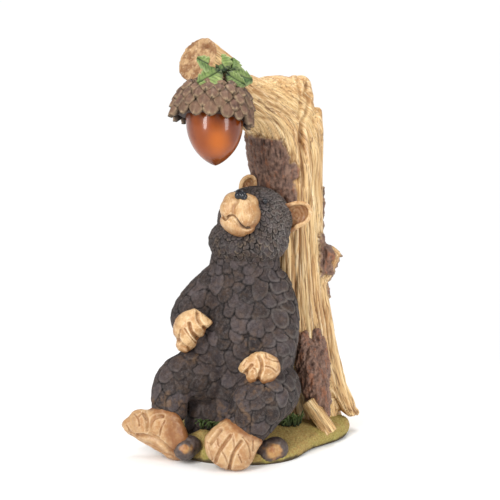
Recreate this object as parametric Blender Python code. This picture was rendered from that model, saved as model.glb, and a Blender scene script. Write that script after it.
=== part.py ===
"""Garden statue of a sitting bear that leans on a tree stump and looks up at an acorn lamp.

The sizes that a designer would set by themselves come first, in metres. The bear, the stump and
the ground are one free carving. Its points are in carving units, and STATUE_HEIGHT sets the unit.
X runs to the right of the side that the bear shows, Y runs away from it, and Z runs up.
"""
import math

import bmesh
import bpy
import numpy as np
from mathutils import Vector, noise

# Driving sizes, in metres
STATUE_HEIGHT = 0.298
GROUND_WIDTH = 0.146
GROUND_DEPTH = 0.128
GROUND_RIM = 0.011
LENS_RADIUS = 0.020
LENS_LENGTH = 0.0335
LENS_WALL = 0.002
LENS_SEAT = 0.005
LENS_CLEARANCE = 0.0004
CAP_RIM = 0.0092
CAP_HEIGHT = 0.028
PANEL_WIDTH = 0.040
PANEL_LENGTH = 0.044
PANEL_THICKNESS = 0.004
PANEL_STANDS_PROUD = 0.0008
PANEL_CLEARANCE = 0.0004
PANEL_BORDER = 0.006
PANEL_FRAME = 0.0022
PANEL_EDGE = 0.0006
CELL_SINK = 0.0005

# Carving units: the figure was drawn 298 units high
UNIT = STATUE_HEIGHT / 298.0

# The middle of the statue's box, as it was drawn. It becomes the part's origin.
DRAWN_MIDDLE = np.array((2.3, 4.6, 0.0))

# Fineness of the solid, in carving units and triangles
SHELL_VOXEL = 1.5
DETAIL_VOXEL = 1.0
JOIN_VOXEL = 1.0
STATUE_TRIANGLES = 9050
LENS_SIDES = 24

# Which way the bear sits: its left side, its front and up
BEAR_YAW = math.radians(25.0)
BEAR_AXES = np.array([
    (math.cos(BEAR_YAW), -math.sin(BEAR_YAW), 0.0),
    (-math.sin(BEAR_YAW), -math.cos(BEAR_YAW), 0.0),
    (0.0, 0.0, 1.0),
])

# Which way the head looks: up at the lamp, and a little rolled
HEAD_CENTRE = np.array((8.0, 4.0, 164.0))
HEAD_YAW = math.radians(24.0)
HEAD_PITCH = math.radians(24.0)
HEAD_ROLL = math.radians(24.0)

# The lamp hangs with its tip a little towards the front
LENS_MOUTH = np.array((-18.6, -18.0, 243.0))
LENS_LEAN = math.radians(15.5)
LENS_AXIS = np.array((0.02, -math.sin(LENS_LEAN), -math.cos(LENS_LEAN)))
CAP_CENTRE = np.array((-20.6, -17.0, 243.0))
CAP_LEAN_RIGHT = math.radians(8.0)

# The panel faces the sky from the back of the stump
PANEL_CENTRE = np.array((32.0, 66.5, 222.0))
PANEL_SKYWARD = math.radians(33.0)


def unit_vector(vector):
    vector = np.asarray(vector, float)
    return vector / np.linalg.norm(vector)


def frame_along(direction, side):
    """Three axes as rows: side and up across the direction, and the direction itself."""
    direction = unit_vector(direction)
    side = np.asarray(side, float)
    side = unit_vector(side - direction * side.dot(direction))
    return np.array([side, np.cross(direction, side), direction])


def smooth_rows(rows, steps):
    """Rows of numbers read from a smooth curve through the given rows."""
    rows = np.array(rows, float)
    padded = np.vstack([2 * rows[0] - rows[1], rows, 2 * rows[-1] - rows[-2]])
    out = []
    for a, b, c, d in zip(padded, padded[1:], padded[2:], padded[3:]):
        for t in np.arange(steps) / steps:
            bend = (2 * a - 5 * b + 4 * c - d) * t * t
            out.append(0.5 * (2 * b + (c - a) * t + bend + (3 * b - a - 3 * c + d) * t ** 3))
    out.append(rows[-1])
    return np.array(out)


def rings_to_shell(rings):
    """A closed shell from rings of points, with a fan over each end."""
    rings = np.array(rings)
    count, sides = rings.shape[:2]
    points = list(rings.reshape(-1, 3)) + [rings[0].mean(0), rings[-1].mean(0)]
    faces = []
    for ring in range(count - 1):
        for side in range(sides):
            after = (side + 1) % sides
            low = ring * sides
            faces.append((low + side, low + after, low + sides + after, low + sides + side))
    first = count * sides
    last_ring = (count - 1) * sides
    for side in range(sides):
        after = (side + 1) % sides
        faces.append((first, after, side))
        faces.append((first + 1, last_ring + side, last_ring + after))
    return np.array(points), faces


def limb(rows, side=(1.0, 0.0, 0.0), flat_start=False, flat_end=False, sides=24, steps=5):
    """A tapered, bent round form. A row is x, y, z, its half width and its half depth."""
    path = smooth_rows(rows, steps)
    angles = np.arange(sides) * 2 * math.pi / sides
    centres = path[:, :3]
    tangents = np.gradient(centres, axis=0)
    rings = []

    def add_ring(centre, axes, wide, deep):
        around = np.outer(np.cos(angles) * wide, axes[0]) + np.outer(np.sin(angles) * deep, axes[1])
        rings.append(centre + around)

    def add_dome(index, sign, steps_out):
        axes = frame_along(tangents[index], side)
        wide, deep = path[index, 3:5]
        reach = 0.9 * min(wide, deep)
        for turn in steps_out:
            out = axes[2] * sign * reach * math.sin(turn)
            shrink = math.cos(turn)
            add_ring(centres[index] + out, axes, wide * shrink, deep * shrink)

    dome = np.radians((20.0, 40.0, 60.0, 78.0))
    if not flat_start:
        add_dome(0, -1.0, dome[::-1])
    for index, row in enumerate(path):
        add_ring(row[:3], frame_along(tangents[index], side), row[3], row[4])
    if not flat_end:
        add_dome(len(path) - 1, 1.0, dome)
    return rings_to_shell(rings)


def ball(centre, radii, axes=np.eye(3), detail=3):
    """An egg-shaped form with its radii along the rows of axes."""
    mesh = bmesh.new()
    bmesh.ops.create_icosphere(mesh, subdivisions=detail, radius=1.0)
    points = np.array([vert.co[:] for vert in mesh.verts])
    faces = [tuple(vert.index for vert in face.verts) for face in mesh.faces]
    mesh.free()
    return np.asarray(centre) + (points * np.asarray(radii)) @ np.asarray(axes), faces


def turned(profile, centre, axis, side=(1.0, 0.0, 0.0), sides=48):
    """A closed form turned about an axis. A profile row is a distance along it and a radius."""
    axes = frame_along(axis, side)
    angles = np.arange(sides) * 2 * math.pi / sides
    circle = np.outer(np.cos(angles), axes[0]) + np.outer(np.sin(angles), axes[1])
    return rings_to_shell([centre + axes[2] * along + circle * radius for along, radius in profile])


def mesh_of(name, points, faces):
    """A Blender mesh, in metres, from points in carving units."""
    mesh = bpy.data.meshes.new(name)
    places = (np.asarray(points) - DRAWN_MIDDLE) * UNIT
    mesh.from_pydata(places.tolist(), [], [tuple(face) for face in faces])
    mesh.validate()
    return mesh


def joined(shells):
    points, faces, start = [], [], 0
    for shell_points, shell_faces in shells:
        points.append(np.asarray(shell_points))
        faces.extend(tuple(index + start for index in face) for face in shell_faces)
        start += len(shell_points)
    return np.vstack(points), faces


def read_mesh(mesh):
    """Points in carving units, point normals and faces of a mesh."""
    points = np.empty(len(mesh.vertices) * 3)
    normals = np.empty(len(mesh.vertices) * 3)
    mesh.vertices.foreach_get("co", points)
    mesh.vertices.foreach_get("normal", normals)
    faces = [tuple(face.vertices) for face in mesh.polygons]
    return points.reshape(-1, 3) / UNIT + DRAWN_MIDDLE, normals.reshape(-1, 3), faces


def evaluated(mesh, add_modifiers):
    """The mesh after the modifiers that add_modifiers puts on it."""
    thing = bpy.data.objects.new(mesh.name, mesh)
    bpy.context.collection.objects.link(thing)
    add_modifiers(thing)
    graph = bpy.context.evaluated_depsgraph_get()
    result = bpy.data.meshes.new_from_object(thing.evaluated_get(graph))
    bpy.data.objects.remove(thing)
    return result


def skin(name, shells, voxel, smoothing):
    """One smooth closed skin around overlapping shells."""
    def add(thing):
        remesh = thing.modifiers.new("Skin", "REMESH")
        remesh.mode = "VOXEL"
        remesh.voxel_size = voxel * UNIT
        if smoothing:
            smooth = thing.modifiers.new("Smooth", "SMOOTH")
            smooth.factor = 0.5
            smooth.iterations = smoothing
    return read_mesh(evaluated(mesh_of(name, *joined(shells)), add))


def noise_at(points, seed=0.0):
    """Smooth noise from -1 to 1 at each point."""
    return np.array([noise.noise(Vector(point) + Vector((seed, 0.0, 0.0))) for point in points])


def ramp(value, low, high):
    t = np.clip((value - low) / (high - low), 0.0, 1.0)
    return t * t * (3.0 - 2.0 * t)


def distance_to_path(points, rows):
    """How far each point is from a smooth path through the rows."""
    path = smooth_rows(rows, 8)
    best = np.full(len(points), 1e9)
    for start, end in zip(path, path[1:]):
        along = end - start
        t = np.clip((points - start) @ along / along.dot(along), 0.0, 1.0)
        best = np.minimum(best, np.linalg.norm(points - start - t[:, None] * along, axis=1))
    return best


def spread(points, gaps, seed):
    """Indexes of points that lie at least their own gap from each other."""
    free = np.ones(len(points), bool)
    chosen = []
    for index in np.random.default_rng(seed).permutation(len(points)):
        if free[index]:
            chosen.append(index)
            free[((points - points[index]) ** 2).sum(1) < gaps[index] ** 2] = False
    return chosen


def overlapping_scales(points, normals, flow, sizes, seed):
    """Height, from 0 to 1, of rounded scales that overlap like shingles along the flow."""
    height = np.zeros(len(points))
    flow = flow - normals * (flow * normals).sum(1)[:, None]
    flow /= np.linalg.norm(flow, axis=1)[:, None] + 1e-9
    for index in spread(points, sizes * 0.72, seed):
        size = sizes[index]
        offset = points - points[index]
        near = np.where((offset ** 2).sum(1) < (0.95 * size) ** 2)[0]
        near = near[normals[near] @ normals[index] > 0.2]
        across = np.cross(normals[index], flow[index])
        a = offset[near] @ flow[index] / size
        b = offset[near] @ across / (0.58 * size)
        edge = np.where(a > 0, np.hypot(a / 0.55, b), np.abs(b))
        rise = 0.4 + 0.6 * np.clip((a + 0.6) / 1.15, 0.0, 1.0)
        rise *= ramp(1.0 - edge, 0.0, 0.10) * (1.0 - 0.2 * b * b)
        rise[a < -0.62] = 0.0
        height[near] = np.maximum(height[near], rise)
    return height


# The bear

# The mouth's groove: points to the side of and above the middle of the head
MOUTH_LINE = [(-11.0, -5.0), (-6.0, -7.5), (0.0, -5.0), (6.0, -7.8), (11.5, -7.0)]


def turned_head_axes():
    """Rows: the head's left side, its front and its crown."""
    level_side = np.array((math.cos(HEAD_YAW), -math.sin(HEAD_YAW), 0.0))
    level_front = np.array((-math.sin(HEAD_YAW), -math.cos(HEAD_YAW), 0.0))
    up = np.array((0.0, 0.0, 1.0))
    front = level_front * math.cos(HEAD_PITCH) + up * math.sin(HEAD_PITCH)
    crown = up * math.cos(HEAD_PITCH) - level_front * math.sin(HEAD_PITCH)
    side = level_side * math.cos(HEAD_ROLL) - crown * math.sin(HEAD_ROLL)
    return np.array([side, front, crown * math.cos(HEAD_ROLL) + level_side * math.sin(HEAD_ROLL)])


HEAD_AXES = turned_head_axes()


def bear_ball(centre, radii):
    return ball(centre, radii, BEAR_AXES)


def head_point(side, front, up):
    return HEAD_CENTRE + np.array((side, front, up)) @ HEAD_AXES


def head_ball(side, front, up, radii):
    return ball(head_point(side, front, up), radii, HEAD_AXES)


def bear_body_shells():
    torso = [
        bear_ball((3, 5, 78), (38, 34, 50)),
        bear_ball((1, 6, 42), (41, 36, 34)),
        bear_ball((-6, -5, 28), (34, 25, 25)),
        bear_ball((-27, -11, 22), (15, 15, 20)),
        bear_ball((0, 7, 112), (30, 26, 32)),
        limb([(0, 9, 118, 26, 23), (3, 6, 140, 25, 23)]),
    ]
    head = [
        ball((9.5, 6, 165.5), (27, 26, 26)),
        ball((5.0, 3, 152.5), (29, 25, 18.5)),
    ]
    right_arm = limb([(-17, 7, 123, 12.5, 12.5), (-28.5, 4, 112, 12.8, 12.5), (-37.5, -2, 98, 14, 13),
                      (-36, -11, 92, 12, 12)])
    left_arm = limb([(22, 4, 122, 12, 12), (28, -2, 108, 12, 12), (29, -12, 90, 12.5, 12.5),
                     (25, -25, 77, 12, 12), (18, -33, 71, 10.5, 10.5)])
    right_leg = limb([(-20, -2, 48, 23, 23), (-34, -11, 55, 19, 20), (-47, -19, 53, 15.8, 16.5),
                      (-51.5, -24, 41, 13.4, 14), (-51, -26, 31, 12.5, 13)])
    left_leg = limb([(18, 2, 42, 24, 24), (19, -16, 46, 23, 23), (14, -33, 45, 21, 21),
                     (7, -42, 34, 18, 17), (2, -45, 27, 15.5, 12)])
    return torso + head + [right_arm, left_arm, right_leg, left_leg]


def fur_flow(points):
    """The way the fur lies: down the body, and out from the face on the head."""
    down = np.tile((0.0, 0.0, -1.0), (len(points), 1))
    outward = points - np.array((3.0, 8.0, 0.0))
    outward[:, 2] = 0.0
    flow = down + 0.35 * outward / (np.linalg.norm(outward, axis=1)[:, None] + 1e-6)
    from_face = points - head_point(0.0, 40.0, 10.0)
    from_face /= np.linalg.norm(from_face, axis=1)[:, None]
    on_head = ramp(points[:, 2], 130.0, 145.0)[:, None]
    return flow * (1.0 - on_head) + (from_face + 0.6 * down) * on_head


def fur_sizes(points):
    """Scale length: small on the head, large on the body."""
    return 12.5 - 5.5 * ramp(points[:, 2], 122.0, 142.0)


def bear_body():
    points, normals, faces = skin("Body", bear_body_shells(), SHELL_VOXEL, 5)
    sizes = fur_sizes(points)
    height = overlapping_scales(points, normals, fur_flow(points), sizes, seed=4)
    lift = 0.7 + 0.17 * sizes
    return points + normals * ((height - 0.55) * lift)[:, None], faces


def muzzle_shells():
    """The bare snout with its two cheeks, lower jaw and brow, and the two ears."""
    shells = [
        head_ball(0, 24, 2.5, (14.0, 13.0, 12.0)),
        head_ball(5.6, 29, 0.8, (8.6, 9.0, 8.6)),
        head_ball(-5.6, 29, 0.8, (8.6, 9.0, 8.6)),
        head_ball(0, 29, 6.0, (8.0, 9.0, 6.0)),
        head_ball(0.5, 24, -9.0, (11.5, 11.0, 6.2)),
    ]
    return shells


def ear_shells(sign):
    """A cupped ear: a ring of small balls around a thin disc. The far one sits lower."""
    centre = np.array((25.0, -7.0, 23.5) if sign > 0 else (-20.0, -7.5, 24.0))
    radius = 7.8 if sign > 0 else 6.6
    shells = [head_ball(*centre, (radius, 2.6, radius))]
    for step in range(14):
        turn = math.radians(-60.0 + 300.0 * step / 13.0)
        side = centre[0] + sign * radius * math.cos(turn)
        up = centre[2] + radius * math.sin(turn)
        shells.append(head_ball(side, centre[1] + 1.0, up, (2.8, 3.5, 2.8)))
    return shells


def paw_shells(wrist, knuckles, tips, palm, radius):
    """A palm with a short finger to each tip. palm holds its radii, radius is a finger's."""
    wrist, knuckles, tips = np.array(wrist, float), np.array(knuckles, float), np.array(tips, float)
    middle = (wrist + knuckles.mean(0)) / 2
    shells = [ball(middle, palm, BEAR_AXES)]
    for knuckle, tip in zip(knuckles, tips):
        shells.append(limb([
            (*(wrist * 0.5 + knuckle * 0.5), radius, radius),
            (*knuckle, radius * 1.05, radius * 1.05),
            (*tip, radius * 0.86, radius * 0.86),
        ], side=(0.3, 0.8, 0.5), sides=16))
    return shells


def right_paw_shells():
    wrist = (-40, -16, 101)
    knuckles = [(-27, -25, 99), (-30.5, -26.5, 93), (-35, -26, 88), (-39.5, -23.5, 85)]
    tips = [(-20, -27, 98.5), (-26, -29, 87.5), (-32, -28, 80.5), (-38, -25, 77.5)]
    return paw_shells(wrist, knuckles, tips, (12.5, 9.0, 12.0), 4.9)


def left_paw_shells():
    wrist = (19, -38, 78)
    knuckles = [(2, -46, 72), (8.5, -50, 69), (17, -50, 69), (24.5, -46, 72)]
    tips = [(0, -48, 67.5), (7, -52, 61), (17.5, -52, 60.5), (26, -47, 66)]
    return paw_shells(wrist, knuckles, tips, (13.0, 9.0, 9.5), 5.2)


def foot_shells(ankle, toes, toe_radius, sole):
    """A fan of toes from the ankle, over a flat sole. A sole row is a point and its radii."""
    ankle = np.array(ankle, float)
    shells = []
    for toe in np.array(toes, float):
        shells.append(limb([
            (*ankle, toe_radius * 1.6, toe_radius * 1.5),
            (*(ankle * 0.45 + toe * 0.55 + (0, 0, 2.5)), toe_radius * 1.2, toe_radius * 1.15),
            (*toe, toe_radius, toe_radius * 0.95),
        ], side=(0.5, 0.3, 0.8), sides=18))
    shells.append(limb(sole, sides=20))
    return shells


def right_foot_shells():
    toes = [(-80, -22, 22), (-72.5, -30, 18.5), (-62.5, -36.5, 15.5), (-53, -40, 13)]
    sole = [(-78, -25, 17.5, 4.5, 3.5), (-66, -33, 12.5, 6, 4.5), (-54, -38, 8.5, 6.5, 4.5),
            (-46, -38, 6.5, 5, 4.5)]
    return foot_shells((-52, -27, 27), toes, 6.4, sole)


def left_foot_shells():
    toes = [(-20.5, -55, 16), (-15, -62, 8.5), (-5, -66, 6), (4.5, -64, 7.5), (8.5, -57, 15)]
    sole = [(-17, -50, 9, 7, 6), (-5, -56, 7, 8, 6), (6, -52, 9, 6, 6)]
    return foot_shells((0, -44, 27), toes, 5.8, sole)


def bare_parts():
    """Snout, ears, paws and feet, each with its own fine skin."""
    groups = [
        muzzle_shells(), ear_shells(1.0), ear_shells(-1.0), right_paw_shells(), left_paw_shells(),
        right_foot_shells(), left_foot_shells(),
    ]
    parts = []
    for shells in groups:
        points, normals, faces = skin("Bare", shells, DETAIL_VOXEL, 2)
        mouth = [head_point(side, 37.0 - 0.06 * side * side, up) for side, up in MOUTH_LINE]
        near_mouth = distance_to_path(points, mouth)
        points = points - normals * (1.6 * (1.0 - ramp(near_mouth, 0.6, 2.4)))[:, None]
        parts.append((points, faces))
    return parts


def nose_and_eyes():
    return [
        head_ball(0, 38.5, 9.0, (6.2, 3.8, 4.6)),
        head_ball(3.0, 39.5, 7.2, (3.2, 3.0, 2.8)),
        head_ball(-3.0, 39.5, 7.2, (3.2, 3.0, 2.8)),
        head_ball(8.6, 25.2, 16.2, (2.4, 2.4, 2.4)),
        head_ball(-8.6, 25.2, 16.2, (2.4, 2.4, 2.4)),
    ]


# The tree

# The stump's middle line, from the ground to the sawn end of its branch
TRUNK_ROWS = [
    (43, 42, -8, 38, 34), (42, 42, 10, 33, 31), (40.5, 42, 40, 29.5, 28), (39, 42, 80, 27.5, 26),
    (36.5, 42, 130, 25.5, 25), (34, 42, 180, 24, 24), (31.5, 40, 212, 25.5, 24),
    (24, 35, 235, 23, 22), (9, 24, 249, 19.5, 18), (-6.5, 13, 259, 17, 16.5),
    (-18.5, 1, 273, 16.8, 16.4), (-31, -12, 283.5, 16.4, 16.4),
]
TRUNK_END = np.array(TRUNK_ROWS[-1][:3], float)
TRUNK_BEFORE_END = np.array(TRUNK_ROWS[-2][:3], float)


def tree_shells():
    """The stump that bends over into a sawn branch, with its stubs, lobe and roots."""
    shells = [
        limb(TRUNK_ROWS, flat_start=True, flat_end=True, sides=40, steps=8),
        limb([(36, 40, 200, 18, 17), (39.5, 38, 235, 14, 13), (41, 37, 253, 11.5, 10.5),
              (41, 36.5, 261, 10, 9)]),
        limb([(14, 27, 252, 15, 13), (27, 32, 254, 15, 13), (38, 36, 253, 13, 12)], side=(0, 0, 1)),
        limb([(50, 44, 150, 11, 14), (51.5, 43, 200, 8.5, 12), (53.6, 42, 232, 6.0, 9),
              (55.2, 42, 242, 4.0, 5)]),
        limb([(50, 42, 108, 11, 11), (61, 40, 127, 9, 9.5), (69, 38, 139, 6.5, 7.5)], flat_end=True),
        limb([(50, 42, 98, 16, 16), (58, 41, 62, 14, 14), (68.5, 38, 35, 11, 11),
              (81, 35, 16, 5.5, 6), (86.5, 34.5, 13, 2.6, 3)]),
        limb([(30, 54, 60, 15, 15), (27, 64, 25, 11, 11), (22, 71, 8, 6, 6)]),
        limb([(60, 50, 50, 13, 13), (68, 62, 22, 9, 9), (72, 68, 8, 5, 5)]),
        limb([(20, 50, 60, 14, 14), (2, 60, 25, 10, 10), (-10, 66, 8, 6, 6)]),
    ]
    return shells


def loose_wood_shells():
    """The bark-covered stub and the sawn stick that lie against the root."""
    return [
        limb([(45.5, 21, 77, 5, 6), (49, 17, 62, 9.5, 9), (54, 13, 44, 11, 10),
              (58, 10.5, 30, 8.5, 8), (62, 9.5, 20, 4, 4.5)]),
        limb([(55, 24, 78, 5, 6), (57, 21, 60, 8, 8), (58, 16, 40, 7, 8)]),
        limb([(49.5, 7, 31, 6.2, 6.2), (58, 3, 18.5, 5.8, 5.8), (65.5, -1, 8.5, 5.6, 5.2)],
             flat_start=True, flat_end=True),
    ]


def along_tree(points):
    """Where each point is along the stump's middle line, and its offset turned into the line's frame."""
    path = smooth_rows(TRUNK_ROWS, 8)[:, :3]
    tangents = np.gradient(path, axis=0)
    length = np.concatenate([[0.0], np.cumsum(np.linalg.norm(np.diff(path, axis=0), axis=1))])
    nearest = np.argmin(((points[:, None, :] - path[None]) ** 2).sum(2), axis=1)
    frames = np.array([frame_along(tangent, (1.0, 0.0, 0.0)) for tangent in tangents])
    offset = np.einsum("nij,nj->ni", frames[nearest], points - path[nearest])
    return length[nearest] + offset[:, 2], offset[:, :2]


def bark_cover(points, normals):
    """How far each point lies under bark, from 0 to 1."""
    ragged = 5.0 * noise_at(points / 9.0, 31.0) + 2.5 * noise_at(points / 4.0, 7.0)
    x, y, z = points.T
    front = np.minimum(38.5 - x, np.minimum(z - 171.0, 223.0 - z - 0.35 * (x - 20.0)))
    front = np.where(y < 34.0, front, -9.0)
    back = np.minimum(normals[:, 1] * 16.0 - 5.0 + 3.0 * normals[:, 0], 190.0 - z)
    stub = np.minimum(np.minimum(z - 110.0, 152.0 - z), np.minimum(x - 57.0, 68.5 - x))
    return ramp(np.maximum(np.maximum(front, back), stub) + ragged, -1.0, 1.0)


def wood_relief(points, normals):
    """Long grain flutes, the fissure beside the lobe and the swirl around the knot."""
    along, offset = along_tree(points)
    radius = np.linalg.norm(offset, axis=1)[:, None] + 1e-6
    around = offset / radius
    wander = 0.35 * noise_at(points / 30.0, 3.0)
    coarse = noise_at(np.column_stack([around * 4.6 + wander[:, None], along / 95.0]), 11.0)
    relief = 3.4 * coarse
    fissure = distance_to_path(points, [(49.5, 28, 262), (47.5, 20, 243), (45, 18, 226),
                                        (47.0, 17, 205), (48.0, 18, 190)])
    relief -= 4.5 * (1.0 - ramp(fissure, 1.0, 5.5))
    from_knot = np.linalg.norm(points - np.array((19.0, 12.0, 252.0)), axis=1)
    relief += 1.3 * np.cos(from_knot * 0.75) * (1.0 - ramp(from_knot, 6.0, 16.0))
    return relief


def tree():
    points, normals, faces = skin("Tree", tree_shells(), SHELL_VOXEL, 5)
    bark = bark_cover(points, normals)
    plates = 1.9 + 1.1 * noise_at(points * (0.13, 0.13, 0.06), 19.0)
    relief = wood_relief(points, normals) * (1.0 - bark) + bark * plates
    sawn = unit_vector(TRUNK_END - TRUNK_BEFORE_END)
    on_cut = ramp((points - TRUNK_END) @ sawn, -2.5, -1.0)
    return points + normals * (relief * (1.0 - on_cut))[:, None], faces


def loose_wood():
    points, normals, faces = skin("Stub", loose_wood_shells(), SHELL_VOXEL, 2)
    rough = noise_at(points * (0.2, 0.2, 0.09), 5.0)
    return points + normals * (1.3 * rough)[:, None], faces


# The ground

TUFT_RIGHT = np.array((-24.0, -22.0, 14.0))
TUFT_LEFT = np.array((40.0, 2.0, 14.0))


def ground():
    """A low mound with a rounded rim, drawn in where the photographed edge is."""
    def bump(turn, middle, width):
        away = (math.degrees(turn) - middle + 180.0) % 360.0 - 180.0
        return math.exp(-(away / width) ** 2)

    centre = np.array((5.0, 16.0))
    half = np.array((GROUND_WIDTH, GROUND_DEPTH)) / UNIT / 2
    rim = GROUND_RIM / UNIT
    sides = 72
    levels = [(0.965, -6.0), (0.985, rim * 0.25), (1.0, rim * 0.6), (0.985, rim * 0.88),
              (0.95, rim), (0.85, rim + 1.5), (0.65, rim + 3.5), (0.4, rim + 5.0), (0.15, rim + 5.5)]
    rings = []
    for share, height in levels:
        ring = []
        for side in range(sides):
            turn = 2 * math.pi * side / sides
            edge = 1.0 + 0.07 * bump(turn, 10.0, 25.0) - 0.20 * bump(turn, -35.0, 28.0)
            place = centre + half * edge * share * np.array((math.cos(turn), math.sin(turn)))
            lower_front = 0.28 * rim * ramp(-place[1], 5.0, 45.0) if height > 0 else 0.0
            bumps = 0.9 * noise.noise(Vector((place[0] / 11.0, place[1] / 11.0, 3.0)))
            ring.append((place[0], place[1], height - lower_front + (bumps if height > 0 else 0.0)))
        rings.append(ring)
    return rings_to_shell(rings)


def tufts():
    """Blades of grass beside each hip."""
    shells = []
    random = np.random.default_rng(8)
    for middle, reach, count in ((TUFT_RIGHT, 8.0, 5), (TUFT_LEFT, 9.0, 7)):
        for _ in range(count):
            foot = middle + random.uniform(-1.0, 1.0, 3) * (reach, reach * 0.5, 0.0)
            tip = foot + random.uniform(-1.0, 1.0, 3) * (6.0, 4.0, 0.0) + (0.0, -2.0, 8.0)
            bend = (foot + tip) / 2 + (0.0, 0.0, 2.0)
            shells.append(limb([(*foot, 1.6, 1.2), (*bend, 1.4, 1.1), (*tip, 0.8, 0.8)], sides=8, steps=3))
    return shells


def small_acorns():
    return [
        ball((-40.0, -41.0, 9.5), (8.2, 7.6, 7.6)),
        ball((-37.0, -38.0, 11.5), (8.6, 7.0, 7.6)),
        ball((19.0, -39.0, 8.0), (10.5, 8.5, 8.0)),
        ball((24.0, -36.5, 9.0), (9.5, 8.5, 8.4)),
    ]


# The lamp

def lens_radius_at(share):
    """The acorn's outline: its share of the full radius at a share of its length."""
    return max(1.0 - share ** 2.4, 0.0) ** 0.85


def lens_point(along):
    return LENS_MOUTH + unit_vector(LENS_AXIS) * along


def lens():
    """The hollow acorn nut, open at the top where it sits in the cap."""
    radius = LENS_RADIUS / UNIT
    length = LENS_LENGTH / UNIT
    wall = LENS_WALL / UNIT
    seat = LENS_SEAT / UNIT
    axes = frame_along(LENS_AXIS, (1.0, 0.0, 0.0))
    angles = np.arange(LENS_SIDES) * 2 * math.pi / LENS_SIDES
    circle = np.outer(np.cos(angles), axes[0]) + np.outer(np.sin(angles), axes[1])
    outer = [(-seat, radius)] + [
        (length * share, radius * lens_radius_at(share))
        for share in (0.0, 0.14, 0.28, 0.42, 0.55, 0.67, 0.78, 0.88, 0.96)
    ]
    inner = [(-seat, radius - wall)] + [
        ((length - 1.6 * wall) * share, (radius - wall) * lens_radius_at(share))
        for share in (0.0, 0.2, 0.4, 0.58, 0.74, 0.9)
    ]
    rings = [LENS_MOUTH + axes[2] * along + circle * ring for along, ring in outer]
    rings += [LENS_MOUTH + axes[2] * along + circle * ring for along, ring in reversed(inner)]
    outer_count = len(outer)
    points = np.array(rings).reshape(-1, 3)
    faces = []
    for ring in range(len(rings)):
        if ring == outer_count - 1:
            continue
        after_ring = (ring + 1) % len(rings)
        for side in range(LENS_SIDES):
            after = (side + 1) % LENS_SIDES
            faces.append((ring * LENS_SIDES + side, ring * LENS_SIDES + after,
                          after_ring * LENS_SIDES + after, after_ring * LENS_SIDES + side))
    tip = len(points)
    tips = np.array([lens_point(length), lens_point(length - 1.6 * wall)])
    for side in range(LENS_SIDES):
        after = (side + 1) % LENS_SIDES
        last = (outer_count - 1) * LENS_SIDES
        faces.append((last + side, last + after, tip))
        faces.append((last + LENS_SIDES + after, last + LENS_SIDES + side, tip + 1))
    return np.vstack([points, tips]), faces


def cap_axis():
    up = -unit_vector(LENS_AXIS)
    return unit_vector(up + np.array((math.tan(CAP_LEAN_RIGHT), 0.0, 0.0)))


def cap_shells():
    """The acorn's cap, with rows of overlapping scales down to its rim."""
    rim = (LENS_RADIUS + CAP_RIM) / UNIT
    height = CAP_HEIGHT / UNIT
    dome = [(-0.6, rim - 3.5), (0.4, rim - 1.2)]
    for step in range(9):
        share = step / 8.0
        dome.append((1.5 + (height - 1.5) * share, (rim - 1.5) * max(1.0 - share ** 2.3, 0.0) ** 0.55))
    shells = [turned(dome, CAP_CENTRE, cap_axis())]
    axes = frame_along(cap_axis(), (1.0, 0.0, 0.0))
    rows = 5
    for row in range(rows):
        share = (0.3 + row) / (rows + 0.4)
        radius = (rim - 1.2) * (1.0 - share ** 2.3) ** 0.55
        count = max(6, round(2 * math.pi * radius / 8.6))
        slope = math.radians(12.0 + 62.0 * share)
        for index in range(count):
            turn = 2 * math.pi * (index + 0.5 * (row % 2)) / count
            out = axes[0] * math.cos(turn) + axes[1] * math.sin(turn)
            down = unit_vector(-axes[2] * math.cos(slope) + out * math.sin(slope))
            face = np.cross(np.cross(down, out), down)
            scale_axes = np.array([np.cross(down, unit_vector(face)), down, unit_vector(face)])
            centre = CAP_CENTRE + axes[2] * height * share + out * radius
            shells.append(ball(centre, (4.5, 6.0, 1.9), scale_axes, detail=2))
    return shells


def leaf(base, tip, half_width, up, thickness=1.1, teeth=3):
    """A thick lobed leaf, raised along its middle."""
    base, tip = np.array(base, float), np.array(tip, float)
    axes = frame_along(tip - base, np.cross(tip - base, up))
    length = np.linalg.norm(tip - base)
    lift = unit_vector(up)
    rings = []
    steps = 12
    for step in range(steps + 1):
        share = 0.04 + 0.93 * step / steps
        lobes = 1.0 + 0.22 * math.cos(2 * math.pi * teeth * share)
        wide = half_width * lobes * math.sin(math.pi * share ** 0.8) ** 0.7 + 0.3
        middle = base + axes[2] * length * share
        rings.append([
            middle - axes[0] * wide - lift * 0.6,
            middle - axes[0] * wide * 0.5 + lift * (thickness * 0.9),
            middle + lift * (thickness * 0.5),
            middle + axes[0] * wide * 0.5 + lift * (thickness * 0.9),
            middle + axes[0] * wide - lift * 0.6,
            middle - lift * (thickness + 0.8),
        ])
    return rings_to_shell(rings)


def leaf_shells():
    """Five lobed leaves that spread from the top of the cap."""
    root = (-12.5, -17.0, 273.0)
    up = (-0.1, -0.75, 0.65)
    tips = [((-31.0, -27.0, 281.5), 4.6), ((-30.0, -28.0, 264.5), 5.0), ((-14.0, -15.5, 286.0), 5.2),
            ((0.0, -8.0, 281.0), 5.0), ((6.5, -9.0, 267.0), 5.2)]
    return [leaf(root, tip, width, up) for tip, width in tips]


# Blocks that cut the solid

BOX_FACES = [(0, 2, 3, 1), (4, 5, 7, 6), (0, 1, 5, 4), (2, 6, 7, 3), (0, 4, 6, 2), (1, 3, 7, 5)]


def box_corners(half_sizes):
    corners = np.array([(x, y, z) for z in (-1, 1) for y in (-1, 1) for x in (-1, 1)], float)
    return corners * half_sizes


def floor_block():
    """Everything below the ground's flat underside."""
    deep = 60.0
    return box_corners((400.0, 400.0, deep)) - (0.0, 0.0, deep), BOX_FACES


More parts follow.
